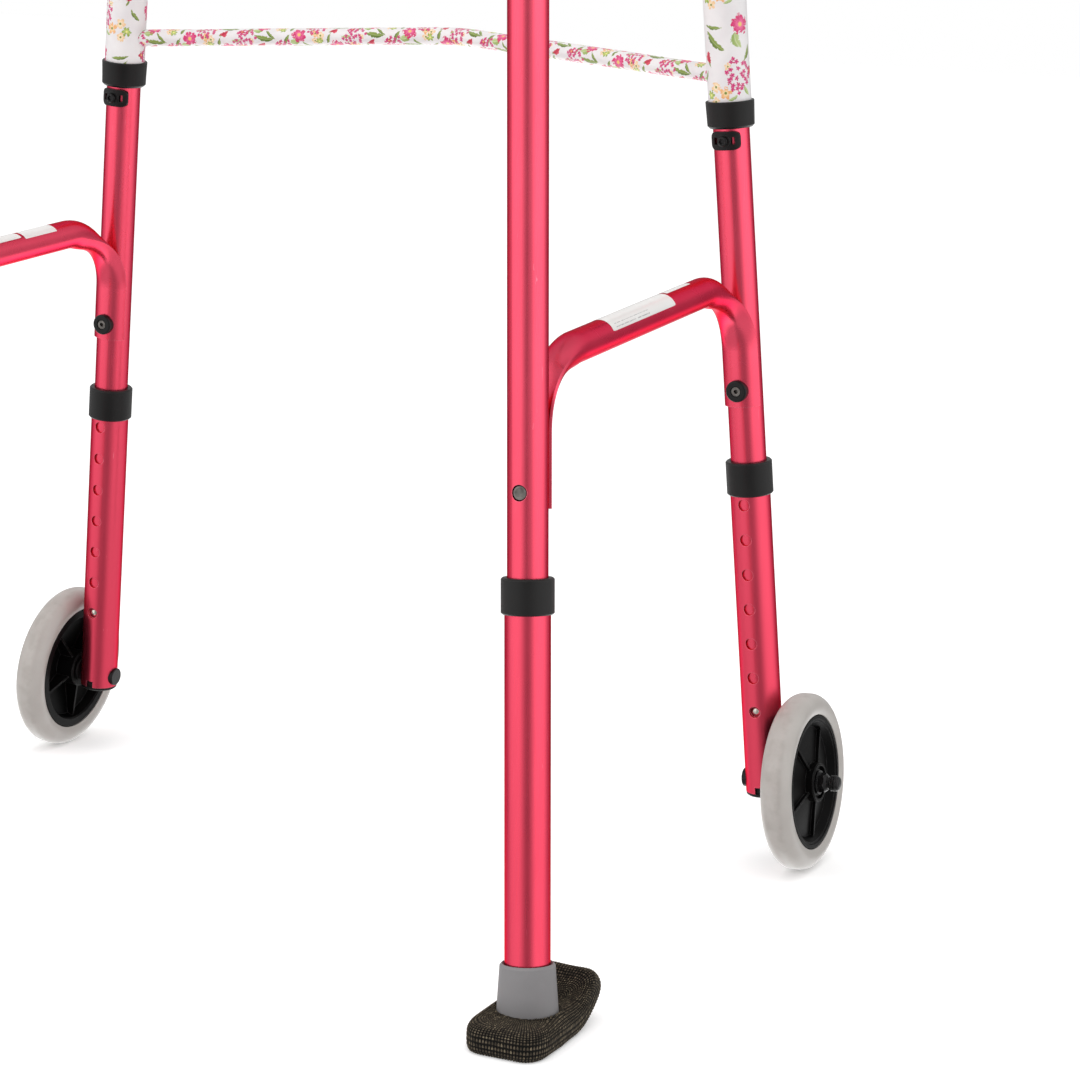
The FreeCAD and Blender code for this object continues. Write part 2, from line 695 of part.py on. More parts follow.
def tyre():
    """A solid tyre with rounded shoulders, sitting between the rim's two lips."""
    c = TYRE_CORNER_R
    w = TYRE_HALF_WIDTH
    seat = RIM_SEAT_R + HAIR_GAP
    slot = RIM_HALF_WIDTH - 2.8
    lip = RIM_R + SEAT_GAP
    diagonal = c * math.sqrt(0.5)
    middle = WHEEL_R - c
    outline = [
        Part.LineSegment(Vector(-slot, 0, seat), Vector(slot, 0, seat)),
        Part.LineSegment(Vector(slot, 0, seat), Vector(slot, 0, lip)),
        Part.LineSegment(Vector(slot, 0, lip), Vector(RIM_HALF_WIDTH, 0, lip)),
        Part.Arc(
            Vector(RIM_HALF_WIDTH, 0, lip),
            Vector(w - 0.25, 0, (lip + middle) / 2),
            Vector(w, 0, middle),
        ),
        Part.Arc(
            Vector(w, 0, middle),
            Vector(w - c + diagonal, 0, middle + diagonal),
            Vector(w - c, 0, WHEEL_R),
        ),
        Part.LineSegment(Vector(w - c, 0, WHEEL_R), Vector(c - w, 0, WHEEL_R)),
        Part.Arc(
            Vector(c - w, 0, WHEEL_R),
            Vector(c - w - diagonal, 0, middle + diagonal),
            Vector(-w, 0, middle),
        ),
        Part.Arc(
            Vector(-w, 0, middle),
            Vector(0.25 - w, 0, (lip + middle) / 2),
            Vector(-RIM_HALF_WIDTH, 0, lip),
        ),
        Part.LineSegment(Vector(-RIM_HALF_WIDTH, 0, lip), Vector(-slot, 0, lip)),
        Part.LineSegment(Vector(-slot, 0, lip), Vector(-slot, 0, seat)),
    ]
    face = Part.Face(Part.Wire([curve.toShape() for curve in outline]))
    return placed(face.revolve(Vector(0, 0, 0), OUTWARD, 360), WHEEL)


def wheel_hub():
    """A moulded wheel: rim, closed web, ribs on both faces and a boss round the axle."""
    w = RIM_HALF_WIDTH
    slot = w - 2.8
    rim = [
        (41.5, -w + 1.2),
        (42.5, -w),
        (47.6, -w),
        (RIM_R, -w + 1.1),
        (RIM_R, -slot - HAIR_GAP),
        (RIM_SEAT_R, -slot - HAIR_GAP),
        (RIM_SEAT_R, slot + HAIR_GAP),
        (RIM_R, slot + HAIR_GAP),
        (RIM_R, w - 1.1),
        (47.6, w),
        (45.4, w),
        (44.8, w - 1.0),
        (43.6, w - 1.0),
        (39.8, 3.6),
        (12.0, 7.2),
        (12.0, 2.6),
        (39.8, -1.0),
    ]
    hub = turned(rim, OUTWARD)
    boss = [
        (BOSS_BORE_R, BOSS_IN),
        (BOSS_R - 0.8, BOSS_IN),
        (BOSS_R, BOSS_IN + 0.8),
        (BOSS_R, BOSS_OUT - 0.8),
        (BOSS_R - 0.6, BOSS_OUT),
        (BOSS_R - 2.2, BOSS_OUT),
        (BOSS_R - 2.6, BOSS_RECESS),
        (BOSS_BORE_R, BOSS_RECESS),
    ]
    hub = hub.fuse(turned(boss, OUTWARD))
    outer = [(4.0, 13.0), (9.6, 13.0), (6.4, 41.4), (3.0, 39.0)]
    inner = [(4.0, 13.0), (-9.0, 13.0), (-6.0, 41.4), (1.0, 40.0)]
    for i in range(RIB_COUNT):
        for side in (outer, inner):
            corners = [Vector(x, -RIB_THICKNESS / 2, r) for x, r in side]
            rib = Part.Face(Part.makePolygon(corners + corners[:1])).extrude(AHEAD * RIB_THICKNESS)
            rib.rotate(Vector(0, 0, 0), OUTWARD, -FIRST_RIB - 360 / RIB_COUNT * i)
            hub = hub.fuse(rib)
    return placed(hub.removeSplitter(), WHEEL)


def wheel_bushes():
    """The two flanged bushes that the wheel turns on."""
    bore = AXLE_R + SEAT_GAP
    out = [
        (bore, 1.0),
        (BOSS_BORE_R, 1.0),
        (BOSS_BORE_R, BOSS_RECESS),
        (9.6, BOSS_RECESS),
        (9.6, BOSS_RECESS + 1.4),
        (bore, BOSS_RECESS + 1.4),
    ]
    inboard = [
        (bore, -1.0),
        (BOSS_BORE_R, -1.0),
        (BOSS_BORE_R, BOSS_IN),
        (9.6, BOSS_IN),
        (9.6, BOSS_IN - 1.3),
        (bore, BOSS_IN - 1.3),
    ]
    return placed(Part.makeCompound([turned(out, OUTWARD), turned(inboard, OUTWARD)]), WHEEL)


def axle_bolt():
    """The bolt through the leg's foot that the wheel turns on."""
    head_r = 6.9
    seat = EXTENSION_R - 0.6
    start = Vector(-EXTENSION_R - 1.8, 0, AXLE_S)
    head = rod(head_r, start, Vector(-seat + 3, 0, AXLE_S))
    rim = [e for e in head.Edges if abs(e.CenterOfMass.x - start.x) < 0.01 and e.Length > 20]
    head = head.makeFillet(0.7, rim)
    head = head.cut(Part.makeCylinder(EXTENSION_R + HAIR_GAP, 60, Vector(0, 0, AXLE_S - 30)))
    shank = rod(AXLE_R, Vector(-seat - 1, 0, AXLE_S), Vector(WHEEL_OFFSET + 25.5, 0, AXLE_S))
    bolt = head.fuse(shank).removeSplitter()
    return placed(bolt, FRONT_LEG)


def axle_nuts():
    """The hexagonal lock nut and the domed cap nut on the axle's outer end."""
    low, high = NUT
    flats = 12.7
    nut = hex_socket(flats, Vector(low, 0, 0), OUTWARD, high - low)
    collar = Part.makeCylinder(8.6, 1.6, Vector(low, 0, 0), OUTWARD)
    cone = Part.makeCone(6.9, 5.4, 2.0, Vector(high - 2.0, 0, 0), OUTWARD)
    cone = cone.fuse(Part.makeCylinder(9, high - 2.0 - low, Vector(low, 0, 0), OUTWARD))
    nut = nut.fuse(collar).common(cone)
    bore = Part.makeCylinder(AXLE_R, 40, Vector(0, 0, 0), OUTWARD)
    start, tip = CAP
    points = [(0, start)]
    for ring in range(3):
        edge = start + 1.7 * ring
        points += [(5.0, edge), (5.8, edge + 0.4), (5.8, edge + 1.1), (5.0, edge + 1.5)]
    points += [(5.3, tip - 2.0), (4.3, tip - 0.8), (2.4, tip - 0.2), (0, tip)]
    cap = turned(points, OUTWARD).cut(Part.makeCylinder(AXLE_R, 25.6, Vector(0, 0, 0), OUTWARD))
    return placed(Part.makeCompound([nut.cut(bore), cap]), WHEEL)


# ---- glide ----


def ski_half_width(share):
    """The ski's half width, as a share of its full one, from its heel (0) to its toe (1)."""
    heel = 0.26
    toe = 0.84
    if share < heel:
        x = 1 - share / heel
        return 0.3 + 0.7 * math.sqrt(1 - x * x)
    if share > toe:
        x = (share - toe) / (1 - toe)
        return 0.62 + 0.38 * math.sqrt(1 - x * x)
    return 1.0


def ski(inset, flat_foot):
    """A board with a turned-up toe, inset all round by a distance.

    flat_foot is how far its underside is cut back to a flat sole.
    """
    heel = -SKI_REAR + inset
    flat = SKI_FLAT - heel
    arc = math.radians(TOE_ANGLE) * TOE_BEND_R - inset
    length = flat + arc
    half_thick = COVER_THICKNESS / 2 - inset
    middle_z = COVER_THICKNESS / 2 - SOLE_DIP
    sections = []
    for share in (0.0, 0.03, 0.08, 0.16, 0.3, 0.45, 0.6, 0.72, 0.84, 0.92, 0.97, 1.0):
        along = length * share
        angle = max(0.0, along - flat) / TOE_BEND_R
        y = min(along, flat) + heel + TOE_BEND_R * math.sin(angle)
        z = middle_z + TOE_BEND_R * (1 - math.cos(angle))
        half = (SKI_HALF_WIDTH - inset) * ski_half_width(share)
        end = min(share, 1 - share) / 0.08
        thick = half_thick * (0.55 + 0.45 * math.sqrt(min(1.0, end)))
        normal = Vector(0, -math.sin(angle), math.cos(angle))
        middle = Vector(0, y, z)
        soft = min(thick * 0.95, half * 0.95)
        sections.append(rounded_section(middle, normal, half, thick, soft))
    body = Part.makeLoft(sections, True, False)
    floor = Part.makeBox(300, 400, 50, Vector(-150, -200, flat_foot - 50))
    return body.cut(floor)


def rounded_section(middle, up, half_width, half_thick, corner):
    """A rectangle with rounded corners, standing across the ski."""
    w = half_width - corner
    t = half_thick - corner
    k = corner * math.sqrt(0.5)
    edges = []
    turns = [(1, -1), (1, 1), (-1, 1), (-1, -1)]
    ends = []
    for sx, sz in turns:
        a = (sx * (w + corner), sz * t)
        b = (sx * (w + k), sz * (t + k))
        c = (sx * w, sz * (t + corner))
        ends.append((a, b, c) if sx * sz > 0 else (c, b, a))
    points = [[middle + OUTWARD * x + up * z for x, z in arc] for arc in ends]
    for here, following in zip(points, points[1:] + points[:1]):
        edges.append(Part.Arc(*here).toShape())
        edges.append(Part.LineSegment(here[2], following[0]).toShape())
    return Part.Wire(edges)


# the glide's own frame: level on the floor, at the rear leg's foot
GLIDE = Placement(Vector(HALF_TRACK, FRONT_LEG_Y - LEG_SPREAD, 0), Rotation())


def cup_blank(extra):
    """The outside of the cup round the leg's foot, grown by a distance."""
    low = 3.0
    rim = 1.4 if extra == 0 else 0.0
    points = [
        (0, low),
        (CUP_FOOT_R + extra, low),
        (CUP_TOP_R + extra, CUP_TOP - rim),
        (CUP_TOP_R - rim * 0.8 + extra, CUP_TOP + extra),
        (0, CUP_TOP + extra),
    ]
    return placed(turned(points), REAR_LEG)


def above_floor(height):
    """The space round the glide that lies above a height."""
    return placed(Part.makeBox(200, 200, 200, Vector(-100, -100, height)), GLIDE)


def ski_glide():
    """The moulded glide: a cup on the leg's foot and the board under it."""
    inset = COVER_WALL + COVER_GAP
    board = placed(ski(inset, inset), GLIDE)
    bore_r = EXTENSION_R + HAIR_GAP
    socket = Part.makeCylinder(bore_r, 80, Vector(0, 0, REAR_EXTENSION_FOOT))
    mouth = Part.makeCone(bore_r, bore_r + 1.3, 2.6, Vector(0, 0, CUP_TOP - 2.6))
    socket = socket.fuse(mouth)
    return board.fuse(cup_blank(0).common(above_floor(inset))).cut(placed(socket, REAR_LEG))


def glide_cover():
    """The knitted cover stretched over the glide's board, open round the cup."""
    cover = placed(ski(0, 0), GLIDE).cut(placed(ski(COVER_WALL, COVER_WALL), GLIDE))
    opening = cup_blank(2 * COVER_GAP).common(above_floor(COVER_WALL + COVER_GAP / 2))
    return cover.cut(opening)


# ---- front frame ----


def leg_spot(s):
    """A point on the front leg's axis, in the walker's frame."""
    return FRONT_LEG.multVec(Vector(0, 0, s))


def bar_apex(s):
    """The corner in the middle of a cross bar that meets the legs at s."""
    end = leg_spot(s)
    return Vector(0, end.y + BAR_BOW, end.z + BAR_RISE)


def bar_frame():
    """The upper bar's own frame: +X along it from the right leg, +Z up."""
    along = (bar_apex(UPPER_BAR_S) - leg_spot(UPPER_BAR_S)).normalize()
    across = UP.cross(along).normalize()
    up = along.cross(across)
    return Placement(leg_spot(UPPER_BAR_S), Rotation(along, across, up, "XYZ"))


BAR_FRAME = bar_frame()


def front_sleeves():
    """The two sleeves that the front legs turn in."""
    sleeve = pipe(SLEEVE_R, SLEEVE_BORE_R, *SLEEVE)
    sleeve = placed(sleeve, FRONT_LEG)
    hole = placed(rod(PLUNGER_R + 0.3, Vector(0, 0, 0), Vector(30, 0, 0)), BAR_FRAME)
    right = sleeve.cut(hole)
    return Part.makeCompound([right, mirrored(right)])


def sleeve_collars():
    """The bushes at both ends of each sleeve."""
    bore = TUBE_R + RUNNING_GAP
    low, high = SLEEVE
    foot = low - SLEEVE_COLLAR_HEIGHT
    bottom = [
        (bore, foot),
        (SLEEVE_COLLAR_R - 2.2, foot),
        (SLEEVE_COLLAR_R - 0.6, foot + 1.6),
        (SLEEVE_COLLAR_R, low + 0.6),
        (SLEEVE_COLLAR_R - 0.4, low + 1.2),
        (SLEEVE_R + 0.01, low + 1.2),
        (SLEEVE_R + 0.01, low),
        (SLEEVE_BORE_R, low),
        (SLEEVE_BORE_R, low + SPIGOT_LENGTH),
        (bore, low + SPIGOT_LENGTH),
    ]
    middle = (low + high) / 2
    top = [(r, 2 * middle - s) for r, s in bottom]
    solids = []
    for points in (bottom, top):
        collar = turned(points)
        hole = placed(rod(PLUNGER_R + 0.3, Vector(0, 0, 0), Vector(30, 0, 0)), BAR_FRAME)
        collar = placed(collar, FRONT_LEG).cut(hole)
        solids += [collar, mirrored(collar)]
    return Part.makeCompound(solids)


def bar_path(s):
    right = leg_spot(s)
    left = Vector(-right.x, right.y, right.z)
    return rounded_path([right, bar_apex(s), left], BAR_BEND_R)


def sleeve_room():
    """The space that the sleeves take up, cut from the cross bars' ends."""
    low, high = SLEEVE
    room = placed(Part.makeCylinder(SLEEVE_R + 0.01, high - low + 40, Vector(0, 0, low - 20)), FRONT_LEG)
    return [room, mirrored(room)]


def lower_cross_bar():
    """The oval bar between the sleeves' lower ends, bent ahead in its middle."""
    path = bar_path(LOWER_BAR_S)
    edge = path.OrderedEdges[0]
    start = edge.valueAt(edge.FirstParameter)
    along = edge.tangentAt(edge.FirstParameter)
    half_deep, half_tall = LOWER_BAR_HALF
    wall = 1.4
    across = UP.cross(along).normalize()
    solids = []
    for less in (0.0, wall):
        oval = Part.Ellipse(
            start + across * (half_deep - less), start + along.cross(across) * (half_tall - less), start
        )
        solids.append(path.makePipeShell([Part.Wire(oval.toShape())], True, False))
    bar = solids[0].cut(solids[1])
    for room in sleeve_room():
        bar = bar.cut(room)
    return bar


def upper_cross_bar():
    """The round bar between the sleeves' upper ends, which holds the two latches."""
    path = bar_path(UPPER_BAR_S)
    bar = swept_circle(path, UPPER_BAR_R).cut(swept_circle(path, UPPER_BAR_R - UPPER_BAR_WALL))
    for room in sleeve_room():
        bar = bar.cut(room)
    slot = Part.makeBox(20, 8.0, 20, Vector(PADDLE_AT - 8, -4.0, 0))
    slot = placed(slot, BAR_FRAME)
    return bar.cut(slot).cut(mirrored(slot))


# ---- latch ----


def along_bar(shape):
    return placed(placed(shape, Placement(Vector(0, 0, 0), Rotation(AHEAD, 90))), BAR_FRAME)


def plunger_guides():
    """The plain bushes in the upper bar that the plungers slide in."""
    solids = []
    for low, high in GUIDES:
        guide = along_bar(pipe(UPPER_BAR_R - UPPER_BAR_WALL, PLUNGER_R + SEAT_GAP, low, high))
        solids += [guide, mirrored(guide)]
    return Part.makeCompound(solids)


def latch_plunger():
    """The rod that locks a front leg, with a notch for the paddle's finger."""
    rod_part = pipe(PLUNGER_R, 0.4, PLUNGER_TIP, HEAD[1])
    shoulder = Part.makeCylinder(
        SHOULDER_R, SHOULDER[1] - SHOULDER[0], Vector(0, 0, SHOULDER[0])
    )
    head = Part.makeCylinder(HEAD_R, HEAD[1] - HEAD[0], Vector(0, 0, HEAD[0]))
    plunger = along_bar(rod_part.fuse(shoulder).fuse(head))
    half = FINGER_R + 0.25
    notch = Part.makeBox(2 * half, 20, 20, Vector(PADDLE_AT - half, -10, -half))
    flare_at = PADDLE_AT - half - NOTCH_FLARE
    flare = Part.makeBox(half + NOTCH_FLARE, 20, 20, Vector(flare_at, -10, FLARE_FROM))
    return plunger.cut(placed(notch.fuse(flare), BAR_FRAME))


def latch_spring():
    """The coil spring that pushes a plunger into its leg."""
    half = 0.6
    coil_r = 6.3
    low = SHOULDER[1] + half + RUNNING_GAP
    length = GUIDES[1][0] - SHOULDER[1] - 2 * (half + RUNNING_GAP)
    turns = 5
    helix = Part.makeHelix(length / turns, length, coil_r)
    corners = [
        Vector(coil_r + x, 0, z) for x, z in ((-half, -half), (half, -half), (half, half), (-half, half))
    ]
    wire = Part.makePolygon(corners + corners[:1])
    coil = Part.Wire(helix).makePipeShell([wire], True, True)
    coil.translate(Vector(0, 0, low))
    return along_bar(coil)


def paddle_bracket():
    """A saddle on the upper bar with two ears for the paddle's pin."""
    half_length = 13.0
    band = arc_band(UPPER_BAR_R, UPPER_BAR_R + 2.4, 100.0, -half_length, half_length, 180.0)
    band = placed(band, Placement(Vector(PADDLE_AT, 0, 0), Rotation(AHEAD, 90)))
    bracket = band
    for side in (-1, 1):
        y = side * (EAR_GAP + EAR_THICKNESS) / 2 - EAR_THICKNESS / 2
        ear = Part.makeBox(12, EAR_THICKNESS, PADDLE_ARM - 9.0, Vector(PADDLE_AT - 6, y, 9.0))
        top = Part.makeCylinder(6.0, EAR_THICKNESS, Vector(PADDLE_AT, y, PADDLE_ARM), AHEAD)
        ear = ear.fuse(top)
        bracket = bracket.fuse(ear)
    bracket = bracket.cut(Part.makeBox(20, EAR_GAP, 20, Vector(PADDLE_AT - 8, -EAR_GAP / 2, 5)))
    keep_out = Part.makeCylinder(UPPER_BAR_R, 60, Vector(PADDLE_AT - 30, 0, 0), OUTWARD)
    hole = Part.makeCylinder(PIN_R, 40, Vector(PADDLE_AT, -20, PADDLE_ARM), AHEAD)
    return placed(bracket.cut(keep_out).cut(hole).removeSplitter(), BAR_FRAME)


def paddle_brackets():
    bracket = paddle_bracket()
    return Part.makeCompound([bracket, mirrored(bracket)])


def paddle_pins():
    half = EAR_GAP / 2 + EAR_THICKNESS + 1.2
    pin = Part.makeCylinder(PIN_R, 2 * half, Vector(PADDLE_AT, -half, PADDLE_ARM), AHEAD)
    pin = placed(pin, BAR_FRAME)
    return Part.makeCompound([pin, mirrored(pin)])


def release_paddle():
    """A lever pressed down by hand: its finger draws the plunger out of the leg."""
    width = EAR_GAP - 0.4
    pivot = Vector(PADDLE_AT, 0, PADDLE_ARM)
    knuckle = Part.makeCylinder(4.8, width, pivot - AHEAD * (width / 2), AHEAD)
    half = FINGER_WIDTH / 2
    finger = Part.makeBox(5.0, FINGER_WIDTH, PADDLE_ARM, Vector(PADDLE_AT - 2.5, -half, 0))
    tip = Part.makeCylinder(FINGER_R, FINGER_WIDTH, Vector(PADDLE_AT, -half, 0), AHEAD)
    neck = Part.makeBox(16, width, 4.5, Vector(-16, -width / 2, -2.25))
    plate = Part.makeBox(38, 24, 4.5, Vector(-50, -12, -2.25))
    upright = [e for e in plate.Edges if abs(e.tangentAt(e.FirstParameter).z) > 0.99]
    outer = [e for e in upright if e.CenterOfMass.x < -49]
    inner = [e for e in upright if e.CenterOfMass.x > -13]
    plate = plate.makeFillet(11.0, outer).makeFillet(4.0, inner)
    lever = neck.fuse(plate)
    lever = placed(lever, Placement(pivot, Rotation(AHEAD, PADDLE_RISE)))
    paddle = knuckle.fuse([finger, tip, lever]).removeSplitter()
    return placed(
        paddle.cut(Part.makeCylinder(PIN_R + SEAT_GAP, 40, pivot - AHEAD * 20, AHEAD)), BAR_FRAME
    )


# ---- all the parts ----


def export(name, shape):
    shape.exportStep(os.path.join("parts", name + ".step"))


def both_sides():
    """Each sub-part that exists once on the right and once on the left."""
    behind = -AHEAD
    return {
        "side_tube": side_tube(),
        "hand_grip": hand_grip(),
        "side_brace": side_brace(),
        "brace_washer": brace_washer(),
        "brace_barrels": brace_barrels(),
        "side_screws": side_screws(),
        "stop_clip": stop_clip(),
        "front_snap_button": placed(snap_button(FRONT_BUTTON_S, behind), FRONT_LEG),
        "front_snap_spring": placed(snap_spring(FRONT_BUTTON_S, behind), FRONT_LEG),
        "rear_snap_button": placed(snap_button(REAR_BUTTON_S, AHEAD), REAR_LEG),
        "rear_snap_spring": placed(snap_spring(REAR_BUTTON_S, AHEAD), REAR_LEG),
        "front_extension": front_extension(),
        "front_collar": placed(leg_collar(FRONT_COLLAR), FRONT_LEG),
        "front_end_plug": front_end_plug(),
        "axle_bolt": axle_bolt(),
        "axle_nuts": axle_nuts(),
        "tyre": tyre(),
        "wheel_hub": wheel_hub(),
        "wheel_bushes": wheel_bushes(),
        "rear_extension": rear_extension(),
        "rear_collar": placed(leg_collar(REAR_COLLAR), REAR_LEG),
        "ski_glide": ski_glide(),
        "glide_cover": glide_cover(),
        "latch_plunger": latch_plunger(),
        "latch_spring": latch_spring(),
        "release_paddle": release_paddle(),
    }


def main():
    os.makedirs("parts", exist_ok=True)
    for name, shape in both_sides().items():
        export("right_" + name, shape)
        export("left_" + name, mirrored(shape))
    export("front_sleeves", front_sleeves())
    export("sleeve_collars", sleeve_collars())
    export("lower_cross_bar", lower_cross_bar())
    export("upper_cross_bar", upper_cross_bar())
    export("plunger_guides", plunger_guides())
    export("paddle_brackets", paddle_brackets())
    export("paddle_pins", paddle_pins())


main()
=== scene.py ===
import json
import math

import bpy
import numpy as np
from mathutils import Matrix, Vector
from mathutils.bvhtree import BVHTree

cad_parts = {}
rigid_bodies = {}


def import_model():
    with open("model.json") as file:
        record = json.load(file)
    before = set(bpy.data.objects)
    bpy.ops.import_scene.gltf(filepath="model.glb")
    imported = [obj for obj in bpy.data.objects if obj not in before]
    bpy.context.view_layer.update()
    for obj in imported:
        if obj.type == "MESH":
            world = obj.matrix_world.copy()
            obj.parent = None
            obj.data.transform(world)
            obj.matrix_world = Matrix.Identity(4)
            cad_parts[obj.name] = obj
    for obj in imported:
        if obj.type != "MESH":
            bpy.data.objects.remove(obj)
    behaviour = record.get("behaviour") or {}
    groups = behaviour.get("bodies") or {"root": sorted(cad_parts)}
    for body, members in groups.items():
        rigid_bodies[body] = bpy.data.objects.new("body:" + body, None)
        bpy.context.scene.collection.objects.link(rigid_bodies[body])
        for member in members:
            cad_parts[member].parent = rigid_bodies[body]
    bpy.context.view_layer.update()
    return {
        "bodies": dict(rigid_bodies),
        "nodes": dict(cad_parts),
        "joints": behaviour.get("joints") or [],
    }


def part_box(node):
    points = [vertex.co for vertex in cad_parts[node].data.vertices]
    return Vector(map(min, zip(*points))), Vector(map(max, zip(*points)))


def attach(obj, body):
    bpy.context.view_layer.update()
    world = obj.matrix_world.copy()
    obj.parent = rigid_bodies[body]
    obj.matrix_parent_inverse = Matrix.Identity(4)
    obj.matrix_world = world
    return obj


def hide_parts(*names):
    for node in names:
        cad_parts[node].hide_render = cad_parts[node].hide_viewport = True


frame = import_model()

MM = 0.001
JOINTS = {joint["name"]: joint for joint in frame["joints"]}
NODES = frame["nodes"]


def axis_of(joint):
    return Vector(JOINTS[joint]["axis"]).normalized()


def linear(r, g, b):
    """An 8-bit display colour as linear RGBA."""
    out = []
    for c in (r, g, b):
        c = c / 255
        out.append(c / 12.92 if c <= 0.04045 else ((c + 0.055) / 1.055) ** 2.4)
    return (*out, 1.0)


# ---- where things are ----


def middle(node):
    low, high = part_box(node)
    return (low + high) / 2


def tree_of(node):
    mesh = NODES[node].data
    return BVHTree.FromPolygons([v.co for v in mesh.vertices], [p.vertices for p in mesh.polygons])


def section_centre(tree, guess, along):
    """The centre of a tube's section by a plane square to a world axis (0, 1 or 2)."""
    centre = guess.copy()
    others = [i for i in (2, 1, 0) if i != along]
    for axis in others + others:
        hits = []
        for way in (-1, 1):
            start = centre.copy()
            start[axis] -= way * 0.06
            step = Vector((0, 0, 0))
            step[axis] = way
            hit = tree.ray_cast(start, step, 0.12)[0]
            if hit is not None:
                hits.append(hit[axis])
        if len(hits) == 2:
            centre[axis] = (hits[0] + hits[1]) / 2
    return centre


# ---- shader graphs ----


class Graph:
    """A material's node tree, with short ways to add to it."""

    def __init__(self, name):
        self.material = bpy.data.materials.new(name)
        self.material.use_nodes = True
        self.tree = self.material.node_tree
        self.tree.nodes.clear()
        output = self.tree.nodes.new("ShaderNodeOutputMaterial")
        self.bsdf = self.tree.nodes.new("ShaderNodeBsdfPrincipled")
        self.tree.links.new(self.bsdf.outputs[0], output.inputs["Surface"])
        self.output = output
        self.place = self.tree.nodes.new("ShaderNodeTexCoord").outputs["Object"]

    def put(self, socket, value):
        if isinstance(value, bpy.types.NodeSocket):
            self.tree.links.new(value, socket)
        elif value is not None:
            socket.default_value = value

    def node(self, kind, inputs=None, **settings):
        made = self.tree.nodes.new(kind)
        for key, value in settings.items():
            setattr(made, key, value)
        for key, value in (inputs or {}).items():
            self.put(made.inputs[key], value)
        return made

    def surface(self, **inputs):
        for key, value in inputs.items():
            self.put(self.bsdf.inputs[key.replace("_", " ")], value)
        return self.material

    def math(self, operation, a, b=None, c=None):
        return self.node("ShaderNodeMath", {0: a, 1: b, 2: c}, operation=operation).outputs[0]

    def vector(self, operation, a, b=None):
        made = self.node("ShaderNodeVectorMath", {0: a, 1: b}, operation=operation)
        return made.outputs["Value" if operation in ("DOT_PRODUCT", "LENGTH") else "Vector"]

    def mix(self, share, a, b, blend="MIX"):
        made = self.node(
            "ShaderNodeMix", {0: share, 6: a, 7: b}, data_type="RGBA", blend_type=blend
        )
        return made.outputs[2]

    def join(self, x, y, z=0.0):
        return self.node("ShaderNodeCombineXYZ", {0: x, 1: y, 2: z}).outputs[0]

    def split(self, vector):
        return self.node("ShaderNodeSeparateXYZ", {0: vector}).outputs

    def span(self, value, low, high, to_low=0.0, to_high=1.0, smooth=True):
        """A value's place between two limits, eased."""
        made = self.node(
            "ShaderNodeMapRange",
            {"Value": value, "From Min": low, "From Max": high, "To Min": to_low, "To Max": to_high},
            interpolation_type="SMOOTHSTEP" if smooth else "LINEAR",
        )
        return made.outputs[0]

    def noise(self, scale, detail=3.0, rough=0.5, where=None, bend=0.0):
        """Noise with scale a number, or one number for each axis."""
        where = self.place if where is None else where
        if isinstance(scale, tuple):
            where = self.vector("MULTIPLY", where, scale)
            scale = 1.0
        made = self.node(
            "ShaderNodeTexNoise",
            {"Vector": where, "Scale": scale, "Detail": detail, "Roughness": rough, "Distortion": bend},
        )
        return made.outputs["Fac"]

    def bump(self, height, distance, strength=1.0, normal=None):
        return self.node(
            "ShaderNodeBump",
            {"Height": height, "Distance": distance, "Strength": strength, "Normal": normal},
        ).outputs[0]

    def rounded(self, radius):
        """The normal with sharp edges eased over a radius."""
        return self.node("ShaderNodeBevel", {"Radius": radius}, samples=4).outputs[0]

    def edges(self, radius):
        """1 near a sharp edge and 0 on open surfaces."""
        eased = self.rounded(radius)
        true = self.node("ShaderNodeNewGeometry").outputs["Normal"]
        return self.span(self.vector("DOT_PRODUCT", eased, true), 0.998, 0.93)


def frame_axes(g, origin, x, y, z):
    """A place's coordinates along three directions from an origin, with x mirrored to the right side."""
    sx, sy, sz = g.split(g.place)[:3]
    right = g.join(g.math("ABSOLUTE", sx), sy, sz)
    away = g.vector("SUBTRACT", right, tuple(origin))
    dots = [g.vector("DOT_PRODUCT", away, tuple(axis)) for axis in (x, y, z)]
    return dots, sx


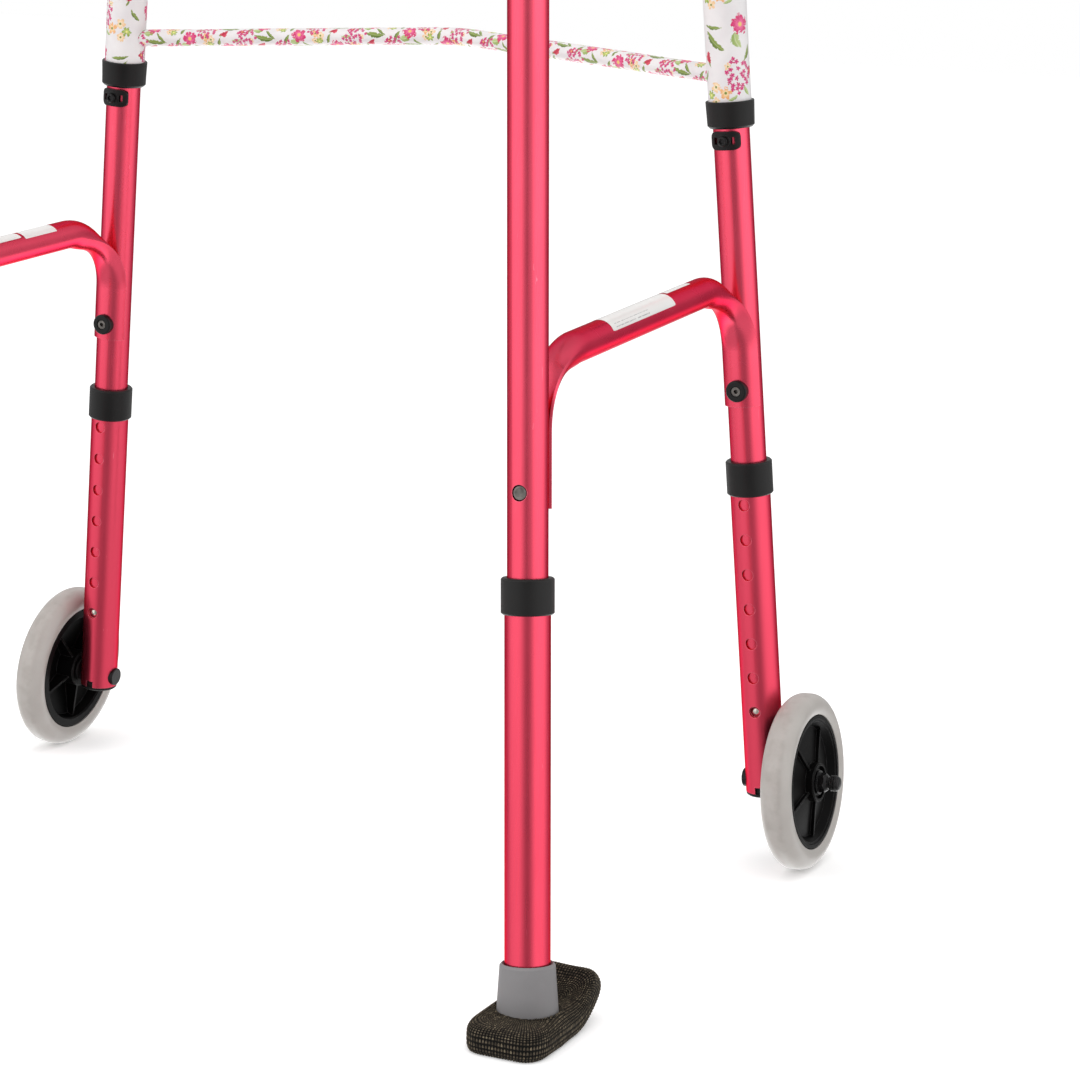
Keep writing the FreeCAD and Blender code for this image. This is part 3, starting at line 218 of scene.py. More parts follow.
def anodised(name, along=None, matte=0.0):
    """Satin anodised aluminium, its drawn grain along a world axis or, on bent tube, in no direction."""
    g = Graph(name)
    fine = tuple(40.0 if i == along else 2600.0 for i in range(3))
    broad = tuple(6.0 if i == along else 260.0 for i in range(3))
    grain = g.noise(fine, 4.0, 0.6)
    bands = g.noise(broad if along is not None else 30.0, 2.0)
    cloud = g.noise(14.0, 3.0)
    colour = g.mix(cloud, linear(234, 84, 108), linear(241, 91, 115))
    colour = g.mix(g.span(grain, 0.3, 0.75, 0.0, 0.2), colour, linear(225, 72, 97))
    # painted shade: the tube's colour darkens towards the floor, where less of the high soft light falls
    low = g.span(g.split(g.place)[2], 0.0, 0.7, 0.7, 0.0)
    colour = g.mix(low, colour, linear(206, 60, 82))
    # fine scratches, mostly along the tube
    scratch_at = tuple(18.0 if i == along else 700.0 for i in range(3))
    scratch = g.span(g.noise(scratch_at, 1.0, 0.5, bend=0.6), 0.725, 0.75)
    scratch = g.math("MULTIPLY", scratch, g.span(g.noise(30.0, 2.0), 0.52, 0.64))
    edge = g.edges(0.6 * MM)
    colour = g.mix(g.math("MULTIPLY", scratch, 0.35), colour, linear(255, 150, 170))
    # painted highlight: sharp edges are painted a paler pink
    colour = g.mix(g.math("MULTIPLY", edge, 0.4), colour, linear(255, 170, 185))
    shine = g.span(bands, 0.3, 0.7, 0.25 + matte, 0.3 + matte)
    roughness = g.math("ADD", shine, g.math("MULTIPLY", scratch, 0.08))
    height = g.math("ADD", grain, g.math("MULTIPLY", scratch, -1.2))
    normal = g.bump(height, 0.004 * MM, 1.0, g.rounded(0.5 * MM))
    return g.surface(
        Base_Color=colour,
        Metallic=0.94,
        Roughness=roughness,
        Specular_Tint=linear(196, 110, 124),
        Normal=normal,
    )


def moulded(name, dark, light, rough, grain_size=0.35, edge_wear_and_highlight=0.35, seams=0.0, gloss=0.2):
    """Moulded plastic or rubber: fine tool grain, slight gloss changes, and edges painted paler, partly as rubbed wear
    and partly as painted highlight.
    """
    g = Graph(name)
    grain = g.noise(1000.0 / grain_size, 3.0, 0.6)
    cloud = g.noise(22.0, 4.0)
    colour = g.mix(g.span(cloud, 0.3, 0.7), dark, light)
    edge = g.edges(0.7 * MM)
    # painted highlight and wear: sharp edges are painted paler, partly as rubbed wear and partly as a painted
    # highlight where edges catch the light
    rubbed_and_lit_edge = g.math("MULTIPLY", edge, g.span(g.noise(160.0, 3.0), 0.35, 0.65, 0.3, 1.0))
    paler = tuple(min(1.0, c * 2.2 + 0.045) for c in light[:3]) + (1.0,)
    colour = g.mix(g.math("MULTIPLY", rubbed_and_lit_edge, edge_wear_and_highlight), colour, paler)
    roughness = g.math("ADD", g.span(cloud, 0.3, 0.7, rough - 0.05, rough + 0.05), g.math("MULTIPLY", rubbed_and_lit_edge, 0.08))
    height = grain
    if seams:
        height = g.math("ADD", grain, g.math("MULTIPLY", g.noise(seams, 1.0), 2.0))
    normal = g.bump(height, 0.03 * MM, 0.7, g.rounded(0.5 * MM))
    return g.surface(Base_Color=colour, Roughness=roughness, Normal=normal, Specular_IOR_Level=gloss)


def steel(name, colour, rough, metallic=1.0):
    """Plated steel with a fine directionless grain, mottled darker at random."""
    g = Graph(name)
    grain = g.noise(1800.0, 4.0, 0.65)
    cloud = g.noise(240.0, 3.0)
    darker = tuple(c * 0.55 for c in colour[:3]) + (1.0,)
    shade = g.mix(g.span(cloud, 0.3, 0.7), darker, colour)
    edge = g.edges(0.4 * MM)
    brighter = tuple(min(1.0, c * 1.5 + 0.08) for c in colour[:3]) + (1.0,)
    # painted highlight: sharp edges are painted brighter
    shade = g.mix(g.math("MULTIPLY", edge, 0.6), shade, brighter)
    roughness = g.span(grain, 0.3, 0.7, rough - 0.06, rough + 0.08)
    normal = g.bump(grain, 0.01 * MM, 0.8, g.rounded(0.25 * MM))
    return g.surface(Base_Color=shade, Metallic=metallic, Roughness=roughness, Normal=normal)


def tyre_rubber(name, joint):
    """Pale solid rubber, a little soiled on its tread, with a mould line round its middle."""
    g = Graph(name)
    hub = JOINTS[joint]
    axis = axis_of(joint)
    origin = Vector(hub["pos_m"])
    away = g.vector("SUBTRACT", g.place, tuple(origin))
    across = g.vector("DOT_PRODUCT", away, tuple(axis))
    flat = g.vector("SUBTRACT", away, g.vector("MULTIPLY", tuple(axis), g.join(across, across, across)))
    radius = g.vector("LENGTH", flat)
    cloud = g.noise(55.0, 4.0)
    colour = g.mix(g.span(cloud, 0.3, 0.7), linear(175, 170, 165), linear(181, 177, 172))
    speckle = g.span(g.noise(900.0, 2.0, 0.7), 0.64, 0.72)
    colour = g.mix(g.math("MULTIPLY", speckle, 0.1), colour, linear(140, 136, 130))
    grime = g.math("MULTIPLY", g.span(radius, 61.5 * MM, 63.4 * MM), g.span(g.noise(130.0, 4.0), 0.4, 0.7))
    colour = g.mix(g.math("MULTIPLY", grime, 0.2), colour, linear(128, 121, 112))
    line = g.math("SUBTRACT", 1.0, g.span(g.math("ABSOLUTE", across), 0.15 * MM, 0.45 * MM))
    # one dark speck on the outer shoulder, above and behind the axle
    outward = axis if axis.x * origin.x > 0 else -axis
    spot = origin + (outward * 10.9 + Vector((0, -40.0, 36.0))) * MM
    far = g.vector("LENGTH", g.vector("SUBTRACT", g.place, tuple(spot)))
    speck = g.math("SUBTRACT", 1.0, g.span(far, 0.5 * MM, 1.3 * MM))
    colour = g.mix(speck, colour, linear(70, 66, 62))
    grain = g.noise(1500.0, 3.0, 0.6)
    height = g.math("ADD", g.math("MULTIPLY", grain, 0.5), line)
    normal = g.bump(height, 0.05 * MM, 0.6)
    return g.surface(Base_Color=colour, Roughness=0.36, Normal=normal, Specular_IOR_Level=0.55)


# ---- the flower print ----


TILE = (47.12 * MM, 66.0 * MM)


def tiled(g, flat):
    """A flat place wrapped into one tile of the print; every other column drops by half a tile."""
    width, height = TILE[0] * g.spread, TILE[1] * g.spread
    u, v, _ = g.split(g.vector("ADD", flat, (30.2 * MM, 52.0 * MM, 0.0)))[:3]
    column = g.math("FLOOR", g.math("DIVIDE", u, width))
    drop = g.math("MULTIPLY", g.math("FLOORED_MODULO", column, 2.0), height / 2)
    u = g.math("FLOORED_MODULO", u, width)
    return g.join(u, g.math("FLOORED_MODULO", g.math("ADD", v, drop), height))


def stamp(g, tile, at, turn):
    """A motif's own x and y: its middle at a place in the tile, in millimetres, and turned by degrees."""
    away = g.vector("SUBTRACT", tile, (at[0] * g.spread * MM, at[1] * g.spread * MM, 0.0))
    inputs = {"Vector": away, "Angle": -math.radians(turn)}
    turned = g.node("ShaderNodeVectorRotate", inputs, rotation_type="Z_AXIS").outputs[0]
    return g.split(turned)[:2]


def leaf(g, tile, colour, at, turn, length, width, tones, soft, ragged):
    """One pointed, slightly bowed leaf over a colour; its size is half its length and half its width."""
    x, y = stamp(g, tile, at, turn)
    run = g.math("DIVIDE", x, length * MM)
    square = g.math("MULTIPLY", run, run)
    y = g.math("SUBTRACT", y, g.math("MULTIPLY", square, width * 0.7 * MM))
    half = g.math("MULTIPLY", g.math("SUBTRACT", 1.0, square), width * MM)
    half = g.math("SUBTRACT", half, g.math("MULTIPLY", ragged, width * 0.5 * MM))
    mask = g.span(g.math("SUBTRACT", g.math("ABSOLUTE", y), half), soft, -soft)
    blade = g.mix(g.span(y, -width * 0.6 * MM, width * 0.7 * MM), tones[0], tones[1])
    blade = g.mix(g.span(run, -1.0, 1.0, 0.0, 0.5), blade, tones[1])
    rib = g.span(g.math("ABSOLUTE", y), width * 0.16 * MM, width * 0.05 * MM)
    return g.mix(mask, colour, g.mix(g.math("MULTIPLY", rib, 0.5), blade, tones[2]))


def petals(g, x, y, colour, radius, count, depth, tones, heart, soft, ragged, present=1.0):
    """One blossom round (0, 0) over a colour, its petals cut in by depth."""
    far = g.vector("LENGTH", g.join(x, y))
    turn = g.math("ARCTAN2", y, x)
    lobes = g.math("POWER", g.math("ABSOLUTE", g.math("COSINE", g.math("MULTIPLY", turn, count / 2))), 0.55)
    edge = g.math("MULTIPLY", g.math("ADD", g.math("MULTIPLY", lobes, depth), 1 - depth), radius)
    edge = g.math("SUBTRACT", edge, g.math("MULTIPLY", ragged, radius * 0.45))
    mask = g.math("MULTIPLY", g.span(g.math("SUBTRACT", far, edge), soft, -soft), present)
    out = g.math("DIVIDE", far, radius)
    shade = g.mix(g.span(out, 0.1, 0.95), tones[0], tones[1])
    veins = g.span(g.math("SINE", g.math("MULTIPLY", turn, count * 4.0)), 0.2, 1.0)
    shade = g.mix(g.math("MULTIPLY", veins, g.span(out, 0.2, 0.7, 0.0, 0.45)), shade, tones[2])
    shade = g.mix(g.span(ragged, 0.1, 0.6, 0.0, 0.5), shade, tones[2])
    return g.mix(mask, colour, g.mix(g.span(out, 0.26, 0.14), shade, heart))


def flower(g, tile, colour, at, turn, radius, *look):
    x, y = stamp(g, tile, at, turn)
    return petals(g, x, y, colour, radius * MM, *look)


def star_cluster(g, tile, colour, at, reach, size, tones, heart, soft, ragged):
    """Small four-petalled stars crowded inside an oval patch."""
    cells = g.node(
        "ShaderNodeTexVoronoi",
        {"Vector": tile, "Scale": 1.0 / (size * MM), "Randomness": 0.85},
        voronoi_dimensions="2D",
    )
    dice = g.node("ShaderNodeSeparateColor", {0: cells.outputs["Color"]}).outputs
    inputs = {"Vector": g.vector("SUBTRACT", tile, cells.outputs["Position"]), "Angle": g.math("MULTIPLY", dice[0], 2 * math.pi)}
    x, y = g.split(g.node("ShaderNodeVectorRotate", inputs, rotation_type="Z_AXIS").outputs[0])[:2]
    patch = (at[0] * g.spread * MM, at[1] * g.spread * MM, 0.0)
    from_middle = g.vector("SUBTRACT", cells.outputs["Position"], patch)
    oval = g.vector("LENGTH", g.vector("MULTIPLY", from_middle, (1 / (reach[0] * MM), 1 / (reach[1] * MM), 0.0)))
    inside = g.math("MULTIPLY", g.math("LESS_THAN", oval, 1.0), g.math("LESS_THAN", dice[1], 0.94))
    return petals(g, x, y, colour, size * 0.54 * MM, 5, 0.66, tones, heart, soft, ragged, inside)


def motifs(g, tile, colour, ragged):
    """The tile's leaves and flowers over a colour."""
    soft = 0.2 * MM
    green = (linear(84, 112, 40), linear(138, 158, 72), linear(190, 204, 140))
    pale_green = (linear(140, 168, 84), linear(186, 204, 138), linear(222, 232, 190))
    colour = leaf(g, tile, colour, (14.2, 54.5), -8, 7.4, 1.5, green, soft, ragged)
    colour = leaf(g, tile, colour, (14.6, 44.5), -44, 10.8, 2.6, green, soft, ragged)
    colour = leaf(g, tile, colour, (30.3, 45.5), -74, 6.6, 3.8, pale_green, soft, ragged)
    colour = leaf(g, tile, colour, (40.5, 36.0), 62, 7.0, 1.8, green, soft, ragged)
    colour = leaf(g, tile, colour, (37.5, 10.5), -58, 5.0, 1.5, pale_green, soft, ragged)
    colour = leaf(g, tile, colour, (27.0, 6.0), 28, 4.2, 1.2, pale_green, soft, ragged)
    colour = leaf(g, tile, colour, (4.0, 20.5), 50, 6.0, 1.6, green, soft, ragged)
    magenta = (linear(242, 120, 168), linear(216, 34, 108), linear(190, 24, 84))
    red = (linear(226, 84, 104), linear(192, 34, 66), linear(150, 26, 52))
    gold = linear(236, 206, 120)
    colour = flower(g, tile, colour, (34.6, 56.0), 20, 7.8, 5, 0.36, magenta, gold, soft, ragged)
    colour = leaf(g, tile, colour, (9.4, 30.4), -70, 3.4, 0.9, green, soft, ragged)
    colour = leaf(g, tile, colour, (8.2, 34.6), -82, 4.6, 2.9, red, soft, ragged)
    colour = flower(g, tile, colour, (43.0, 24.0), 0, 3.4, 5, 0.5, red, gold, soft, ragged)
    peach = (linear(250, 226, 178), linear(238, 172, 104), linear(226, 140, 70))
    cream = (linear(252, 238, 206), linear(244, 204, 152), linear(232, 174, 110))
    lime = (linear(206, 220, 122), linear(146, 172, 70), linear(110, 140, 50))
    leafy = linear(120, 140, 60)
    colour = flower(g, tile, colour, (14.0, 4.2), 30, 3.8, 5, 0.5, cream, leafy, soft, ragged)
    colour = flower(g, tile, colour, (21.6, 10.0), 10, 4.8, 5, 0.5, peach, leafy, soft, ragged)
    colour = flower(g, tile, colour, (14.6, 14.2), 50, 4.4, 5, 0.5, cream, leafy, soft, ragged)
    colour = flower(g, tile, colour, (9.6, 8.6), 0, 4.0, 6, 0.55, lime, linear(240, 236, 150), soft, ragged)
    colour = flower(g, tile, colour, (24.0, 28.0), 15, 2.8, 5, 0.5, cream, leafy, soft, ragged)
    star = (linear(226, 84, 146), linear(206, 40, 112), linear(180, 24, 88))
    return star_cluster(g, tile, colour, (32.2, 21.5), (9.6, 12.6), 3.6, star, star[2], 0.12 * MM, ragged)


def flower_print(name, coordinates, zoom=1.0, spread=1.0, turn=0.0):
    """A glossy white coat printed with watercolour flowers, from a surface's flat coordinates; a
    spread under 1 crowds the same motifs into a smaller tile, and a turn sets the tiles aslant."""
    g = Graph(name)
    g.spread = spread
    inputs = {"Vector": coordinates(g), "Angle": math.radians(turn)}
    aslant = g.node("ShaderNodeVectorRotate", inputs, rotation_type="Z_AXIS").outputs[0]
    flat = g.vector("MULTIPLY", aslant, (1 / zoom, 1 / zoom, 0.0))
    wash = g.noise(420.0, 3.0, 0.6, where=flat)
    ragged = g.span(wash, 0.42, 0.72)
    colour = g.mix(g.span(g.noise(40.0, 3.0, where=flat), 0.35, 0.65), linear(231, 228, 229), linear(238, 236, 236))
    colour = motifs(g, tiled(g, flat), colour, ragged)
    grain = g.noise(1600.0, 2.0)
    peel = g.noise(320.0, 2.0)
    normal = g.bump(g.math("ADD", g.math("MULTIPLY", grain, 0.3), peel), 0.03 * MM, 0.5, g.rounded(0.5 * MM))
    return g.surface(
        Base_Color=colour, Roughness=0.36, Normal=normal, Specular_IOR_Level=0.35, Coat_Weight=0.1
    )


def sleeve_flat(g):
    """Round and along the front sleeves."""
    up = -axis_of("right_fold")
    ahead = (Vector((0, 1, 0)) - up * up.y).normalized()
    out = ahead.cross(up)
    seam_free = (out - ahead).normalized()
    aside = up.cross(seam_free)
    (x, y, z), side = frame_axes(g, Vector(JOINTS["right_fold"]["pos_m"]), seam_free, aside, up)
    turn = g.math("ARCTAN2", y, x)
    left = g.math("LESS_THAN", side, 0.0)
    along = g.math("ADD", z, g.math("MULTIPLY", left, 0.377))
    return g.join(g.math("MULTIPLY", turn, 15 * MM), along)


def bar_flat(node, radius):
    """Round and along one cross bar, measured from its middle."""
    tree = tree_of(node)
    low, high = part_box(node)
    ends = []
    for x in (0.25, 0.8):
        guess = Vector((high.x * x, low.y + (high.y - low.y) * (1 - x), (low.z + high.z) / 2))
        ends.append(section_centre(tree, guess, 0))
    inner, outer = ends
    along = (inner - outer).normalized()
    up = (Vector((0, 0, 1)) - along * along.z).normalized()
    ahead = up.cross(along) * (-1 if up.cross(along).y < 0 else 1)
    seam_free = (up * 0.8 - ahead).normalized()
    aside = along.cross(seam_free)
    reach = -(outer.x / along.x)

    def coordinates(g):
        (x, y, z), side = frame_axes(g, outer, seam_free, aside, along)
        turn = g.math("ARCTAN2", y, x)
        from_middle = g.math("SUBTRACT", reach, z)
        signed = g.math("MULTIPLY", from_middle, g.math("SIGN", side))
        return g.join(g.math("MULTIPLY", turn, radius), signed)

    return coordinates


# ---- meshes ----


def shade_smooth(mesh):
    mesh.polygons.foreach_set("use_smooth", np.ones(len(mesh.polygons), bool))


def grid_object(name, points, material, across_closed=True, uv=None, caps=False):
    """A mesh from rows of points, each row closed round if across_closed."""
    rows, columns = points.shape[:2]
    index = np.arange(rows * columns).reshape(rows, columns)
    if across_closed:
        index = np.concatenate([index, index[:, :1]], 1)
    faces = np.stack([index[:-1, :-1], index[:-1, 1:], index[1:, 1:], index[1:, :-1]], -1)
    faces = faces.reshape(-1, 4)
    mesh = bpy.data.meshes.new(name)
    polygons = faces.tolist()
    if caps:
        polygons += [index[0, :columns][::-1].tolist(), index[-1, :columns].tolist()]
    mesh.from_pydata(points.reshape(-1, 3).tolist(), [], polygons)
    if uv is not None:
        corner = np.stack([uv[:-1, :-1], uv[:-1, 1:], uv[1:, 1:], uv[1:, :-1]], 2).reshape(-1, 2)
        layer = mesh.uv_layers.new(name="cloth")
        layer.data.foreach_set("uv", corner.astype(np.float32).ravel())
    shade_smooth(mesh)
    mesh.update()
    made = bpy.data.objects.new(name, mesh)
    bpy.context.scene.collection.objects.link(made)
    mesh.materials.append(material)
    return made


def grid_normals(points, closed=True):
    """Each point's normal in a grid of points."""
    if closed:
        across = np.roll(points, -1, 1) - np.roll(points, 1, 1)
    else:
        across = np.gradient(points, axis=1)
    down = np.gradient(points, axis=0)
    normal = np.cross(across, down)
    length = np.linalg.norm(normal, axis=-1, keepdims=True)
    return normal / np.maximum(length, 1e-12)


def finer(rows, times, closed, axis):
    """A grid resampled with smooth curves to more points along an axis."""
    rows = np.moveaxis(rows, axis, 0)
    count = len(rows)
    total = count * times if closed else (count - 1) * times + 1
    at = np.arange(total) / times
    base = np.minimum(np.floor(at).astype(int), count - 1 if closed else count - 2)
    share = (at - base).reshape(-1, *([1] * (rows.ndim - 1)))
    picks = []
    for step in (-1, 0, 1, 2):
        spot = base + step
        picks.append(rows[spot % count] if closed else rows[np.clip(spot, 0, count - 1)])
    a, b, c, d = picks
    s2, s3 = share * share, share**3
    out = 0.5 * (2 * b + (c - a) * share + (2 * a - 5 * b + 4 * c - d) * s2 + (3 * b - a - 3 * c + d) * s3)
    return np.moveaxis(out, 0, axis)


# ---- the knitted glide covers ----

HALF_THICK = 9.0 * MM
FLAT = 55.0 * MM
TOE_BEND = 46.0 * MM
TOE_ARC = math.radians(59.0) * TOE_BEND
STITCH = (2.1 * MM, 1.9 * MM)
BOXY = 0.62  # below 1, the cover's rounded edges are squarer


def ski_outline(half_width, count):
    """The developed outline of the ski, evenly spaced: across and along, from the heel's middle."""
    length = FLAT + TOE_ARC
    share = np.linspace(0, 1, 400)
    half = np.ones_like(share)
    heel = share < 0.18
    half[heel] = 0.56 + 0.44 * np.sqrt(1 - (1 - share[heel] / 0.18) ** 2)
    toe = share > 0.88
    half[toe] = 0.74 + 0.26 * np.sqrt(np.maximum(0, 1 - ((share[toe] - 0.88) / 0.12) ** 2))
    right = np.stack([half * half_width, share * length], 1)
    left = right[::-1] * [-1, 1]
    loop = np.concatenate([[[0, 0]], right, [[0, length]], left])
    step = np.linalg.norm(np.diff(np.concatenate([loop, loop[:1]]), axis=0), axis=1)
    reach = np.concatenate([[0], np.cumsum(step)])
    closed = np.concatenate([loop, loop[:1]])
    at = np.linspace(0, reach[-1], count, endpoint=False)
    even = np.stack([np.interp(at, reach, closed[:, i]) for i in (0, 1)], 1)
    for _ in range(4):
        even = 0.5 * even + 0.25 * (np.roll(even, 1, 0) + np.roll(even, -1, 0))
    return even, reach[-1]


def lifted(across, along, height):
    """The developed ski's points bent up at the toe: across, ahead and up."""
    turn = np.maximum(0, along - FLAT) / TOE_BEND
    ahead = np.minimum(along, FLAT) + (TOE_BEND - height) * np.sin(turn)
    up = TOE_BEND * (1 - np.cos(turn)) + height * np.cos(turn)
    return np.stack([across, ahead, up], -1)


def cover_grid(half_width, cup_at, cup_r):
    """The cover's rows, from its opening round the cup, over its edge, to the sole's middle."""
    count = 120
    outline, perimeter = ski_outline(half_width, count)
    toward = outline - [0, cup_at]
    angle = np.arctan2(toward[:, 1], toward[:, 0])
    opening = np.stack([np.cos(angle), np.sin(angle)], 1) * cup_r + [0, cup_at]
    inward = opening - outline
    depth = np.linalg.norm(inward, axis=1)
    spine = np.stack([np.zeros(count), np.clip(outline[:, 1], 20 * MM, FLAT + TOE_ARC - 17 * MM)], 1)
    c = HALF_THICK
    arc = np.where(depth < c, np.arccos(np.clip(1 - depth / c, -1, 1)), math.pi / 2)
    top_length = arc * c + np.maximum(depth - c, 0)
    grid, run = [], []
    lip = [(-0.4, -2.6), (0.1, -0.6), (0.5, 0.5), (1.3, 0.9)]
    height_at_lip = c * np.sin(arc) ** BOXY
    for out, up in lip:
        spot = opening - inward / depth[:, None] * out * MM
        grid.append(lifted(spot[:, 0], spot[:, 1], height_at_lip + up * MM))
        run.append(top_length + (1.4 - out) * MM)
    rings = 13
    for i in range(1, rings + 1):
        left = top_length * (1 - i / rings)
        turned = np.minimum(left / c, math.pi / 2)
        inset = np.where(left < c * math.pi / 2, c * (1 - np.cos(turned) ** BOXY), c + left - c * math.pi / 2)
        height = c * np.sin(turned) ** BOXY
        spot = outline + inward / depth[:, None] * inset[:, None]
        grid.append(lifted(spot[:, 0], spot[:, 1], height))
        run.append(left)
    for i in range(1, 6):
        turned = math.pi / 2 * i / 5
        to_spine = spine - outline
        size = np.linalg.norm(to_spine, axis=1, keepdims=True)
        spot = outline + to_spine / size * c * (1 - max(0.0, math.cos(turned)) ** BOXY)
        grid.append(lifted(spot[:, 0], spot[:, 1], np.full(count, -c * math.sin(turned) ** BOXY)))
        run.append(np.full(count, -turned * c))
    edge = spot
    for i in range(1, 8):
        spot = edge + (spine - edge) * (i / 7)
        grid.append(lifted(spot[:, 0], spot[:, 1], np.full(count, -c)))
        run.append(np.full(count, -c * math.pi / 2) - np.linalg.norm(spot - edge, axis=1))
    return np.array(grid), np.array(run), perimeter


def simulate_stretch(points, pinned_rows):
    """Cloth simulation of the knit pressed out from inside; each point may move a little."""
    probe = grid_object("cloth_probe", points, bpy.data.materials.new("probe"))
    pins = probe.vertex_groups.new(name="pins")
    rows, columns = points.shape[:2]
    held = [r * columns + c for r in pinned_rows for c in range(columns)]
    pins.add(held, 1.0, "ADD")
    cloth = probe.modifiers.new("cloth", "CLOTH")
    settings = cloth.settings
    settings.quality = 5
    settings.mass = 0.05
    settings.vertex_group_mass = "pins"
    settings.use_pressure = True
    settings.uniform_pressure_force = 2.5
    settings.tension_stiffness = 12
    settings.compression_stiffness = 12
    settings.shear_stiffness = 4
    settings.bending_stiffness = 0.3
    settings.effector_weights.gravity = 0
    cloth.point_cache.frame_start = 1
    cloth.point_cache.frame_end = 14
    scene = bpy.context.scene
    for step in range(1, 15):
        scene.frame_set(step)
    evaluated = probe.evaluated_get(bpy.context.evaluated_depsgraph_get())
    moved = np.zeros(rows * columns * 3, np.float32)
    evaluated.data.vertices.foreach_get("co", moved)
    moved = moved.reshape(points.shape).astype(float)
    scene.frame_set(1)
    bpy.data.objects.remove(probe)
    shift = moved - points
    size = np.linalg.norm(shift, axis=-1, keepdims=True)
    cap = 1.6 * MM
    return points + shift * np.minimum(1, cap / np.maximum(size, 1e-9))


def stitch_height(u, v):
    """The relief of rows of knit stitches, each one a small bump with drooping sides."""
    column = u / STITCH[0]
    aside = np.abs(column - np.floor(column) - 0.5) * 2
    row = v / STITCH[1] + 0.25 * aside
    up = row - np.floor(row)
    return np.cos(math.pi / 2 * aside) ** 0.8 * np.sin(math.pi * up) ** 0.7


def knit_cover(side, material):
    low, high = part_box(side + "_glide_cover")
    foot = middle(side + "_rear_extension")
    up = -axis_of(side + "_rear_leg_height")
    at_floor = foot - up * ((foot.z - 0.017) / up.z)
    centre_x = (low.x + high.x) / 2
    cup_at = at_floor.y - low.y
    grid, run, perimeter = cover_grid((high.x - low.x) / 2, cup_at, 19.8 * MM)
    # the opening follows the leaning leg
    sideways = at_floor.x - centre_x
    ease = np.zeros(len(grid))
    ease[:4] = 1.0
    ease[4:12] = np.linspace(1, 0, 8)
    grid[:, :, 0] += sideways * ease[:, None]
    grid = grid + np.array([centre_x, low.y, 0]) + [0, 0, HALF_THICK - 0.6 * MM]
    grid = simulate_stretch(grid, (0, 1, 2, len(grid) - 1))
    grid[:, :, 2] = np.maximum(grid[:, :, 2], 0.35 * MM)
    across, down = 6, 4
    fine = finer(finer(grid, across, True, 1), down, False, 0)
    run = finer(finer(run, across, True, 1), down, False, 0)
    rows, columns = run.shape
    u = np.tile(np.arange(columns) / columns * perimeter, (rows, 1))
    v = run
    stitches = round(perimeter / STITCH[0])
    u = u * (stitches * STITCH[0] / perimeter)
    normal = grid_normals(fine)
    outward = np.sum(normal * (fine - fine.mean((0, 1))), -1).mean()
    normal = normal if outward > 0 else -normal
    relief = stitch_height(u, v)
    wobble = np.sin(u * 210 + np.sin(v * 330) * 1.3) * np.sin(v * 270 + 0.7)
    fine = fine + normal * (relief * 0.8 * MM + wobble * 0.2 * MM)[..., None]
    fine[:, :, 2] = np.maximum(fine[:, :, 2], 0.1 * MM)
    uv = np.stack([np.concatenate([u, u[:, :1] + stitches * STITCH[0]], 1), np.concatenate([v, v[:, :1]], 1)], -1)
    if outward > 0:
        fine = fine[::-1]
        uv = uv[::-1]
    cover = grid_object(side + "_knit_cover", fine, material, uv=uv)
    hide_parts(side + "_glide_cover")
    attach(cover, side + "_rear_leg")
    return cover


def knit_material():
    g = Graph("knit_yarn")
    uv = g.node("ShaderNodeUVMap", uv_map="cloth").outputs[0]
    u, v, _ = g.split(uv)[:3]
    column = g.math("DIVIDE", u, STITCH[0])
    aside = g.math("MULTIPLY", g.math("ABSOLUTE", g.math("SUBTRACT", g.math("FRACT", column), 0.5)), 2.0)
    row = g.math("ADD", g.math("DIVIDE", v, STITCH[1]), g.math("MULTIPLY", aside, 0.25))
    across = g.math("COSINE", g.math("MULTIPLY", aside, math.pi / 2))
    high = g.math("MULTIPLY", across, g.math("SINE", g.math("MULTIPLY", g.math("FRACT", row), math.pi)))
    cell = g.join(g.math("FLOOR", column), g.math("FLOOR", row))
    dice = g.node("ShaderNodeTexWhiteNoise", {"Vector": cell}, noise_dimensions="2D").outputs["Value"]
    fibre = g.noise((3500.0, 900.0, 1.0), 3.0, 0.7, where=uv)
    fuzz = g.noise(2600.0, 4.0, 0.7)
    yarn = g.mix(g.span(dice, 0.0, 0.7, smooth=False), linear(66, 59, 50), linear(116, 105, 88))
    yarn = g.mix(g.span(dice, 0.88, 0.94), yarn, linear(150, 137, 114))
    yarn = g.mix(g.math("MULTIPLY", g.span(fibre, 0.52, 0.72), 0.5), yarn, linear(138, 126, 104))
    yarn = g.mix(g.span(fuzz, 0.35, 0.6), linear(34, 30, 26), yarn)
    # painted shade: the hollows between stitches are painted nearly black, and each stitch's raised middle keeps the
    # lighter yarn colour
    yarn = g.mix(g.span(high, 0.3, 0.85), linear(6, 6, 5), yarn)
    height = g.math("ADD", g.math("MULTIPLY", high, 1.0), g.math("MULTIPLY", g.math("ADD", fibre, fuzz), 0.35))
    normal = g.bump(height, 0.35 * MM, 0.9)
    return g.surface(
        Base_Color=yarn,
        Roughness=0.85,
        Normal=normal,
        Specular_IOR_Level=0.2,
        Sheen_Weight=0.18,
        Sheen_Roughness=0.45,
        Sheen_Tint=linear(150, 136, 112),
    )


# ---- hand grips ----


